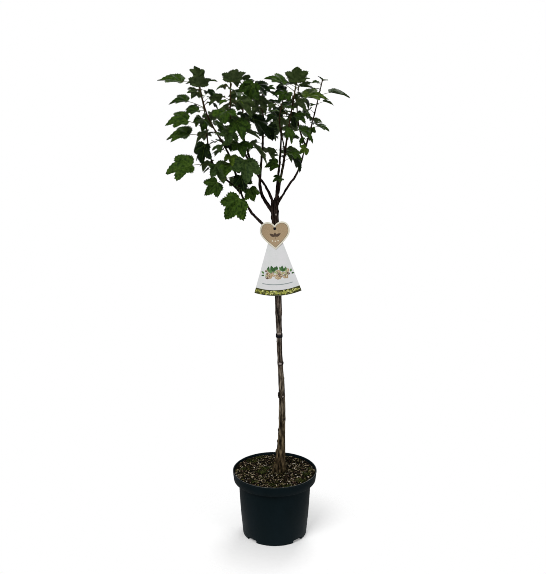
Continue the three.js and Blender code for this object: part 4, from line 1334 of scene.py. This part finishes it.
LEAF = {
    "size": 1, "golden": 137.5, "youngest": 0.66, "size_spread": 0.2, "bearing_spread": 16, "lean": 52,
    "lean_spread": 12, "stalk": 0.62, "stalk_spread": 0.25, "droop_below": 48, "droop_above": 6,
    "droop_spread": 20, "roll_spread": 26, "yaw_spread": 26, "fewest": 3, "first": 0.7, "margin": 0.4,
}
TUFT = {
    "count": 3, "share": 0.985, "size": 0.8, "lean": 34, "lean_spread": 10, "stalk": 0.434, "droop": -22,
    "droop_spread": 26,
}
TRIES = {"count": 8, "turn": 23, "shrink": 0.03}
SPACE = {"grid": 6.5, "blades": 8, "stalks": 4, "own_stem": 1.2, "limbs": 5, "stalk_to_limb": 4, "reach": 110}
OVAL = {"start": -0.08, "length": 1.06, "middle": 0.42, "half_length": 0.58, "half_width": 0.57, "edge": 0.01}
STALK_PLACES = (0.35, 0.5, 0.65, 0.8, 0.93)
BLADE = {"fold": 0.22, "bend": 0.22}
ARCH = 0.08
UP = np.array([0.0, 0.0, 1.0])
SPRING = {"out": 0.5, "down": 0.3}
DICE = {"step": 1299709, "start": 7919, "factor": 16807, "modulus": 2147483647}


def dice(seed):
    """A repeatable run of numbers between 0 and 1."""
    state = (seed * DICE["step"] + DICE["start"]) % DICE["modulus"]

    def roll():
        nonlocal state
        state = (state * DICE["factor"]) % DICE["modulus"]
        return state / DICE["modulus"]

    return roll


def unit(v):
    return v / np.linalg.norm(v)


def orient(bearing, droop, roll):
    """The directions of a blade: along its midrib, across it and out of its upper face."""
    flat = outwards(math.radians(bearing))
    along = flat * math.cos(math.radians(droop)) - UP * math.sin(math.radians(droop))
    across = np.cross(UP, flat)
    turn = math.radians(roll)
    across = (
        across * math.cos(turn)
        + np.cross(along, across) * math.sin(turn)
        + along * np.dot(along, across) * (1 - math.cos(turn))
    )
    return {"along": along, "across": across, "face": np.cross(along, across)}


def spring_leaf(root, axis, leaf):
    """A leaf whose stalk leaves a shoot at a lean to it, then turns outwards."""
    out = outwards(math.radians(leaf["bearing"]))
    side = unit(out - axis * np.dot(out, axis))
    lean = math.radians(leaf["lean"])
    start = unit(side * math.sin(lean) + axis * math.cos(lean))
    later = unit(start + out * SPRING["out"] - UP * SPRING["down"])
    knee = root + start * leaf["stalk"] / 2
    base = knee + later * leaf["stalk"] / 2
    facing = orient(leaf["bearing"] + leaf["yaw"], leaf["droop"], leaf["roll"])
    return {"root": root, "knee": knee, "base": base, "size": leaf["size"], "axis": axis, **facing}


def reach_leaf(path, share, base, facing, size):
    """A leaf whose blade is given, on a stalk that arches up a little from the limb."""
    root = path.at(share)
    base = np.array(base, float)
    knee = (root + base) / 2 + UP * ARCH * np.linalg.norm(base - root)
    axis = path.heading(share)
    return {"root": root, "knee": knee, "base": base, "size": size, "axis": axis, **orient(*facing)}


def blade_points(leaf, x, y, lift):
    """Points of a blade from their places in the flat outline, in blade lengths."""
    x, y, lift = (np.asarray(value, float)[..., None] for value in (x, y, lift))
    return leaf["base"] + (leaf["along"] * x + leaf["across"] * y + leaf["face"] * lift) * leaf["size"]


def spread_points(leaf):
    """Points spread over a leaf, which keep it clear of the limbs and of other leaves."""
    columns = math.ceil(OVAL["length"] * leaf["size"] / SPACE["grid"])
    rows = math.ceil(OVAL["half_width"] * leaf["size"] / SPACE["grid"])
    places = []
    for i in range(columns + 1):
        x = OVAL["start"] + OVAL["length"] * i / columns
        round_off = max(0, 1 - ((x - OVAL["middle"]) / OVAL["half_length"]) ** 2)
        half = OVAL["half_width"] * math.sqrt(round_off)
        for j in range(-rows, rows + 1):
            y = OVAL["half_width"] * j / rows
            if abs(y) <= half + OVAL["edge"]:
                places.append((x, y))
    x, y = np.array(places).T
    blade = blade_points(leaf, x, y, BLADE["fold"] * abs(y) - BLADE["bend"] * x * x)
    middle = blade_points(leaf, OVAL["middle"], 0, -BLADE["bend"] * OVAL["middle"] ** 2)
    stalk = [
        mix(leaf["root"], leaf["knee"], t * 2) if t < 0.5 else mix(leaf["knee"], leaf["base"], t * 2 - 1)
        for t in STALK_PLACES
    ]
    return {"blade": blade, "stalk": np.array(stalk), "middle": middle}


SPOT_STEP = 6
LEAFY_MARGIN = 0.02
spots = []
for limb in LIMBS:
    path = paths[limb["name"]]
    steps = math.ceil(path.length / SPOT_STEP)
    for i in range(steps + 1):
        leafy = i / steps > limb["bare"] + LEAFY_MARGIN
        spots.append((limb["name"], leafy, path.at(i / steps), mix(*limb["girth"], i / steps)))
for z in np.arange(STEM_GUIDES[0][2], STEM_GUIDES[-1][2], SPOT_STEP):
    spots.append(("trunk", False, stem_centre(z), STEM["radius"]))
spot_places = np.array([spot[2] for spot in spots])
spot_radii = np.array([spot[3] for spot in spots])


def meet(some, others, limit):
    """Whether any point of one set is nearer than a limit to any point of the other."""
    return bool((((some[:, None] - others[None]) ** 2).sum(-1) < np.square(limit)).any())


def is_clear(points, owner, placed, room=1):
    """Whether a leaf has room among the limbs and the leaves that are already there."""
    own = np.array([spot[0] == owner for spot in spots])
    own_stem = np.array([spot[0] == owner and spot[1] for spot in spots])
    margins = spot_radii + np.where(own_stem, SPACE["own_stem"], SPACE["limbs"] * room)
    if meet(points["blade"], spot_places, margins):
        return False
    if meet(points["stalk"], spot_places[~own], spot_radii[~own] + SPACE["stalk_to_limb"] * room):
        return False
    for other in placed:
        if ((points["middle"] - other["middle"]) ** 2).sum() >= SPACE["reach"] ** 2:
            continue
        if meet(points["blade"], other["blade"], SPACE["blades"] * room):
            return False
        if meet(points["stalk"], other["blade"], SPACE["stalks"] * room):
            return False
        if meet(points["blade"], other["stalk"], SPACE["stalks"] * room):
            return False
    return True


placed = []
crown = {limb["name"]: [] for limb in LIMBS}
for name, share, base, facing, size, tint in OUTLYING_LEAVES:
    leaf = {**reach_leaf(paths[name], share, base, facing, size), "tint": tint}
    points = spread_points(leaf)
    if is_clear(points, name, placed):
        placed.append(points)
        crown[name].append(leaf)
for limb in LIMBS:
    roll = dice(limb["seed"])
    path = paths[limb["name"]]
    bare = limb["bare"]
    count = max(LEAF["fewest"], math.floor((1 - bare) * path.length / limb["spacing"] + 0.5))
    for k in range(count + TUFT["count"]):
        age = min(1, k / count)
        droop = mix(LEAF["droop_below"], LEAF["droop_above"], age)
        kind = TUFT if k >= count else {**LEAF, "droop": droop}
        share = kind.get("share", bare + (1 - bare) * ((k + LEAF["first"]) / (count + LEAF["margin"])))
        chances = [(roll() - 0.5) * 2 for _ in range(7)]
        youth = mix(1, LEAF["youngest"], age)
        size = limb["leaf"] * kind["size"] * youth * (1 + chances[0] * LEAF["size_spread"])
        leaf = {
            "bearing": limb["turn"] + k * LEAF["golden"] + chances[1] * LEAF["bearing_spread"],
            "lean": kind["lean"] + chances[2] * kind["lean_spread"],
            "stalk": size * kind["stalk"] * (1 + chances[3] * LEAF["stalk_spread"]),
            "droop": kind["droop"] + chances[4] * kind["droop_spread"],
            "roll": chances[5] * LEAF["roll_spread"],
            "yaw": chances[6] * LEAF["yaw_spread"],
        }
        for attempt in range(TRIES["count"]):
            turn = TRIES["turn"] * math.ceil(attempt / 2) * (1 if attempt % 2 else -1)
            shrunk = size * (1 - TRIES["shrink"] * attempt)
            tried = {**leaf, "bearing": leaf["bearing"] + turn, "size": shrunk}
            grown = spring_leaf(path.at(share), path.heading(share), tried)
            points = spread_points(grown)
            if is_clear(points, limb["name"], placed):
                placed.append(points)
                crown[limb["name"]].append(grown)
                break

# Short spurs between the leaves carry one or two small young leaves each, within the same reach.
SPUR = {
    "length": (7, 20), "lean": (40, 70), "first": 0.4, "tries": 5, "room": 0.55, "radius": 0.9, "rise": 2,
    "girths": (1.3, 1, 0.9, 0.85),
}
YOUNG_LEAF = {
    "size": (12, 25), "spread": (15, 70), "lean": (25, 60), "stalk": (0.45, 0.8), "droop": (-15, 45),
    "roll": (-26, 26), "yaw": (-26, 26),
}
spurs = {limb["name"]: [] for limb in LIMBS}
for limb in LIMBS:
    path = paths[limb["name"]]
    low, high = (np.array(corner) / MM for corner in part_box("foliage_" + limb["name"]))
    seed, spacing = limb["spurs"]
    chance = np.random.default_rng(seed)
    count = int((1 - limb["bare"]) * path.length / spacing)
    for k in range(count):
        share = mix(limb["bare"], 1, (k + SPUR["first"]) / count)
        for attempt in range(SPUR["tries"]):
            bearing = chance.uniform(0, 360)
            shoot = {"bearing": bearing, "yaw": 0, "droop": 0, "roll": 0, "size": 1}
            shoot["lean"] = chance.uniform(*SPUR["lean"])
            shoot["stalk"] = chance.uniform(*SPUR["length"])
            twig = spring_leaf(path.at(share), path.heading(share), shoot)
            tip_heading = unit(twig["base"] - twig["knee"] + UP * SPUR["rise"])
            young = []
            for side in (-1, 1):
                size = chance.uniform(*YOUNG_LEAF["size"])
                leaf = {
                    "bearing": bearing + side * chance.uniform(*YOUNG_LEAF["spread"]),
                    "lean": chance.uniform(*YOUNG_LEAF["lean"]),
                    "stalk": size * chance.uniform(*YOUNG_LEAF["stalk"]),
                    "droop": chance.uniform(*YOUNG_LEAF["droop"]),
                    "roll": chance.uniform(*YOUNG_LEAF["roll"]),
                    "yaw": chance.uniform(*YOUNG_LEAF["yaw"]),
                    "size": size,
                }
                grown = spring_leaf(twig["base"], tip_heading, leaf)
                points = spread_points(grown)
                inside = (points["blade"] > low).all() and (points["blade"] < high).all()
                if inside and is_clear(points, limb["name"], placed, SPUR["room"]):
                    placed.append(points)
                    young.append(grown)
            if young:
                spurs[limb["name"]].append(twig)
                crown[limb["name"]] += young
                break

# Half of a leaf's toothed outline from its tip back to its stalk, in blade lengths: middle lobe, side
# lobe and basal lobe, with a notch after each.
HALF_LEAF = [
    (0.925, 0.055), (0.905, 0.105), (0.83, 0.125), (0.80, 0.185), (0.72, 0.19), (0.68, 0.245), (0.60, 0.245),
    (0.55, 0.27), (0.62, 0.36), (0.575, 0.40), (0.625, 0.47), (0.575, 0.50), (0.56, 0.60), (0.50, 0.56),
    (0.44, 0.60), (0.39, 0.54), (0.325, 0.565), (0.28, 0.495), (0.225, 0.52), (0.185, 0.435), (0.12, 0.50),
    (0.095, 0.44), (0.015, 0.485), (0.01, 0.415), (-0.07, 0.42), (-0.06, 0.35), (-0.125, 0.33),
    (-0.10, 0.26), (-0.145, 0.215), (-0.105, 0.155), (-0.11, 0.10), (-0.05, 0.045),
]
LEAF_RINGS = (0.36, 0.7, 1)
UNDER_RING = 0.7
# A wobble of the outline has a depth and a number of waves, and a vein an angle and a reach.
LEAF_WOBBLES = [(0.05, 2), (0.03, 5)]
LOBE_TURN = 47
VEINS = [(0, 0.93), (LOBE_TURN, 0.74), (-LOBE_TURN, 0.74), (2 * LOBE_TURN, 0.44), (-2 * LOBE_TURN, 0.44)]
VEIN_STATIONS = (0.02, 0.36, 0.7, 1)
VEIN = {"girth": (0.62, 0.3), "side_share": 0.85, "sides": 4}
STALK_GIRTHS = (1.25, 0.85, 0.72, 0.68, 0.66, 0.68, 0.75)
STALK = {"enters": 0.03, "sides": 6}
BUD_FORM = {"stations": (0, 0.3, 0.7, 1.1, 1.5), "girths": (0.35, 0.55, 0.5, 0.3, 0.06), "sides": 6}
FULL_SIZE = 50
PLEAT = {"height": 0.085, "full_reach": 0.5}
SIDE_CURL = 0.16
WAVE = {"height": 0.045, "turns": 7, "side_phase": 2}
FOLD_SPREAD = (0.6, 1.4)
BEND_SPREAD = (0.5, 1.5)
TWIST = 0.12
BLADE_THICKNESS = 0.5
TOP_TINTS = 5
UNDER_TINTS = 2
VEIN_FINISH = TOP_TINTS + UNDER_TINTS
STALK_FINISH = VEIN_FINISH + 1


def leaf_lift(x, y, form):
    """How far a place on a blade lies out of its flat plane: fold, bend, pleats and waves."""
    reach = np.hypot(x, y)
    angle = np.degrees(np.arctan2(np.abs(y), x))
    pleat = np.sin(np.pi * np.clip(angle, 0, 3 * LOBE_TURN) / LOBE_TURN) ** 2
    pleats = PLEAT["height"] * pleat * np.minimum(reach, PLEAT["full_reach"]) / PLEAT["full_reach"]
    wave = np.sin(np.radians(angle * WAVE["turns"]) + form["phase"] + WAVE["side_phase"] * np.sign(y))
    waves = WAVE["height"] * wave * reach**2
    curl = form["twist"] * x * y
    return form["fold"] * np.abs(y) - form["bend"] * x * x - SIDE_CURL * y * y + pleats + waves + curl


def tube(points, radii, sides):
    """The points and faces of a closed tube along a line, with its own radius at each point."""
    points = np.array(points)
    headings = np.gradient(points, axis=0)
    headings /= np.linalg.norm(headings, axis=1)[:, None]
    side = np.array([0.0, 1, 0]) if abs(headings[0][0]) > 0.9 else np.array([1.0, 0, 0])
    angles = math.tau * np.arange(sides) / sides
    rings = []
    for point, heading, radius in zip(points, headings, radii):
        side = unit(side - heading * np.dot(side, heading))
        other = np.cross(heading, side)
        rings.append(point + radius * (np.cos(angles)[:, None] * side + np.sin(angles)[:, None] * other))
    count = len(points)
    faces = [tuple(range(sides - 1, -1, -1)), tuple(range((count - 1) * sides, count * sides))]
    for i in range(count - 1):
        for j in range(sides):
            k = (j + 1) % sides
            faces.append((i * sides + j, i * sides + k, (i + 1) * sides + k, (i + 1) * sides + j))
    return np.concatenate(rings), faces


class Bundle:
    """Collects many small closed shapes, in millimetres, into the arrays of one mesh."""

    def __init__(self):
        self.points = []
        self.faces = []
        self.finishes = []
        self.total = 0

    def add(self, points, faces, finish):
        self.points.append(points)
        self.faces += [tuple(self.total + corner for corner in face) for face in faces]
        self.finishes += [finish] * len(faces) if isinstance(finish, int) else list(finish)
        self.total += len(points)

    def piece(self, name):
        return piece_from_arrays(name, np.concatenate(self.points) * MM, self.faces, self.finishes)


half_x, half_y = np.array(HALF_LEAF).T
outline_x = np.concatenate([[1], half_x, half_x[::-1]])
outline_y = np.concatenate([[0], half_y, -half_y[::-1]])
outline_angles = np.arctan2(outline_y, outline_x)
columns = len(outline_x)
blade_faces = []
for j in range(columns):
    k = (j + 1) % columns
    for ring in range(len(LEAF_RINGS) - 1):
        inner = 1 + ring * columns
        blade_faces.append((inner + j, inner + columns + j, inner + columns + k, inner + k))
    blade_faces.append((0, 1 + j, 1 + k))
top_count = len(blade_faces)
margin = 1 + (len(LEAF_RINGS) - 1) * columns
under = margin + columns
for j in range(columns):
    k = (j + 1) % columns
    blade_faces.append((under, under + 1 + k, under + 1 + j))
    blade_faces.append((under + 1 + j, under + 1 + k, margin + k, margin + j))


def add_leaf(bundle, leaf, chance, tint_shares):
    """Adds a blade, its veins and its stalk to a bundle; the shares deal out the blade's tint."""
    form = {
        "fold": BLADE["fold"] * chance.uniform(*FOLD_SPREAD),
        "bend": BLADE["bend"] * chance.uniform(*BEND_SPREAD),
        "phase": chance.uniform(0, math.tau),
        "twist": chance.uniform(-TWIST, TWIST),
    }
    wobble = np.ones(columns)
    for depth, waves in LEAF_WOBBLES:
        wobble += depth * np.sin(waves * outline_angles + chance.uniform(0, math.tau))
    wobble[0] = 1
    edge_x = outline_x * wobble
    edge_y = outline_y * wobble
    half = BLADE_THICKNESS / 2 / leaf["size"]
    x = np.concatenate([[0], *[edge_x * ring for ring in LEAF_RINGS], [0], edge_x * UNDER_RING])
    y = np.concatenate([[0], *[edge_y * ring for ring in LEAF_RINGS], [0], edge_y * UNDER_RING])
    rise = np.full(len(x), half)
    rise[margin:under] = 0
    rise[under:] = -half
    points = blade_points(leaf, x, y, leaf_lift(x, y, form) + rise)
    dealt = int(chance.choice(TOP_TINTS, p=tint_shares))
    top = leaf.get("tint", dealt)
    below = TOP_TINTS + int(chance.integers(UNDER_TINTS))
    bundle.add(points, blade_faces, [top] * top_count + [below] * (len(blade_faces) - top_count))
    stoutness = (leaf["size"] / FULL_SIZE) ** 0.5
    for angle, reach in VEINS:
        line = np.array(VEIN_STATIONS) * reach
        vein_x = line * math.cos(math.radians(angle))
        vein_y = line * math.sin(math.radians(angle))
        middle = blade_points(leaf, vein_x, vein_y, leaf_lift(vein_x, vein_y, form))
        girth = mix(*VEIN["girth"], np.array(VEIN_STATIONS)) * stoutness
        vein, faces = tube(middle, girth * (VEIN["side_share"] if angle else 1), VEIN["sides"])
        bundle.add(vein, faces, VEIN_FINISH)
    root, knee = leaf["root"], leaf["knee"]
    end = blade_points(leaf, STALK["enters"], 0, leaf_lift(STALK["enters"], 0.0, form))
    shares = np.linspace(0, 1, len(STALK_GIRTHS))
    line = [root * (1 - t) ** 2 + knee * 2 * t * (1 - t) + end * t * t for t in shares]
    stalk, faces = tube(line, np.array(STALK_GIRTHS) * stoutness, STALK["sides"])
    bundle.add(stalk, faces, STALK_FINISH)


def add_bud(bundle, root, heading, size):
    """Adds a small pointed bud that stands on a shoot."""
    line = [root + heading * size * t for t in BUD_FORM["stations"]]
    bud, faces = tube(line, np.array(BUD_FORM["girths"]) * size, BUD_FORM["sides"])
    bundle.add(bud, faces, 0)


# A blade's tint is dealt out leaf by leaf, and the sprays at the back and inside get the darker ones as
# painted shade. The outlying leaves hang free and catch more light, so their tints stand in their rows,
# chosen partly as painted light and shade.
TINT_SHARES = (0.3, 0.22, 0.32, 0.08, 0.08)
SHADED_SHARES = (0.34, 0.06, 0.55, 0.01, 0.04)
LEAF_COLOURS = {
    "leaf_deep": ((0.005, 0.016, 0.0014), (0.027, 0.058, 0.006)),
    "leaf_mid": ((0.01, 0.028, 0.0022), (0.044, 0.088, 0.0095)),
    # The darkest tint is near black: painted shade for leaves deep in the crown.
    "leaf_dark_painted_shade": ((0.001, 0.004, 0.0006), (0.0075, 0.019, 0.0028)),
    "leaf_fresh": ((0.022, 0.05, 0.003), (0.08, 0.126, 0.014)),
    "leaf_bluish": ((0.011, 0.027, 0.0055), (0.042, 0.072, 0.02)),
    "leaf_under": ((0.03, 0.051, 0.013), (0.067, 0.098, 0.032)),
    "leaf_under_pale": ((0.04, 0.066, 0.02), (0.084, 0.117, 0.045)),
    "leaf_vein": ((0.055, 0.095, 0.013), (0.09, 0.14, 0.026)),
    "leaf_stalk": ((0.04, 0.046, 0.009), (0.1, 0.09, 0.027)),
}
leaf_finishes = [
    mottled_finish(
        name, dark, light, scale=150, sharpness=4.2, roughness=(0.42, 0.6), relief=(420, 0.0009), shine=0.05
    )
    for name, (dark, light) in LEAF_COLOURS.items()
]
shoot_bark = mottled_finish(
    "shoot_bark", (0.016, 0.011, 0.008), (0.12, 0.09, 0.066),
    scale=400, stretch=10, sharpness=3, roughness=(0.6, 0.8), relief=(900, 0.0004), shine=0.04,
)
shade_by_height(
    shoot_bark,
    [
        (0.8, (0.3, 0.25, 0.26)), (0.9, (0.18, 0.145, 0.135)), (1.0, (0.26, 0.2, 0.165)),
        (1.08, (0.56, 0.42, 0.28)), (1.17, (0.75, 0.7, 0.38)),
    ],
    {"tints": ((0.45, 0.4, 0.38), (1.15, 1.15, 1.15)), "scale": 160, "stretch": 4},
)
SHOOT = {"overlap": 4, "step": 5, "sides": 10, "swell": 0.22, "swell_reach": 3.2}
TWIG_SIDES = 7
BUD = {"tip": 1.9, "tip_sunk": 0.5, "twig": 1.8, "leaf": 2.1, "leaf_out": 1.6, "forward": 2}
LEAF_SEED = 19
leaf_chance = np.random.default_rng(LEAF_SEED)
for limb in LIMBS:
    name = limb["name"]
    path = paths[name]
    leaves = Bundle()
    shoots = Bundle()
    start = limb["bare"] - SHOOT["overlap"] / path.length
    shares = np.linspace(start, 1, int((1 - start) * path.length / SHOOT["step"]))
    radii = []
    for share in shares:
        place = path.at(share)
        close = min(np.linalg.norm(place - leaf["root"]) for leaf in crown[name])
        swell = SHOOT["swell"] * math.exp(-((close / SHOOT["swell_reach"]) ** 2))
        radii.append(limb_radius(limb, share) * (1 + swell))
    shoots.add(*tube([path.at(share) for share in shares], radii, SHOOT["sides"]), 0)
    tip = path.at(1) - path.heading(1) * BUD["tip_sunk"]
    add_bud(shoots, tip, path.heading(1), limb["girth"][1] * BUD["tip"])
    for twig in spurs[name]:
        line = [twig["root"], mix(twig["root"], twig["knee"], 0.5), twig["knee"], twig["base"]]
        shoots.add(*tube(line, np.array(SPUR["girths"]) * SPUR["radius"], TWIG_SIDES), 0)
        add_bud(shoots, twig["base"], unit(twig["base"] - twig["knee"]), BUD["twig"])
    for leaf in crown[name]:
        add_leaf(leaves, leaf, leaf_chance, SHADED_SHARES if limb["shaded"] else TINT_SHARES)
        side = unit(leaf["knee"] - leaf["root"])
        heading = unit(side + BUD["forward"] * leaf["axis"])
        add_bud(shoots, leaf["root"] + side * BUD["leaf_out"], heading, BUD["leaf"])
    for bundle, label, finishes, slot in (
        (leaves, "leaves_", leaf_finishes, "leaves"),
        (shoots, "shoots_", [shoot_bark], "shoot_bark"),
    ):
        piece = bundle.piece(label + name)
        shade_by_angle(piece, 50)
        dress(piece, finishes, slot, "foliage_" + name)
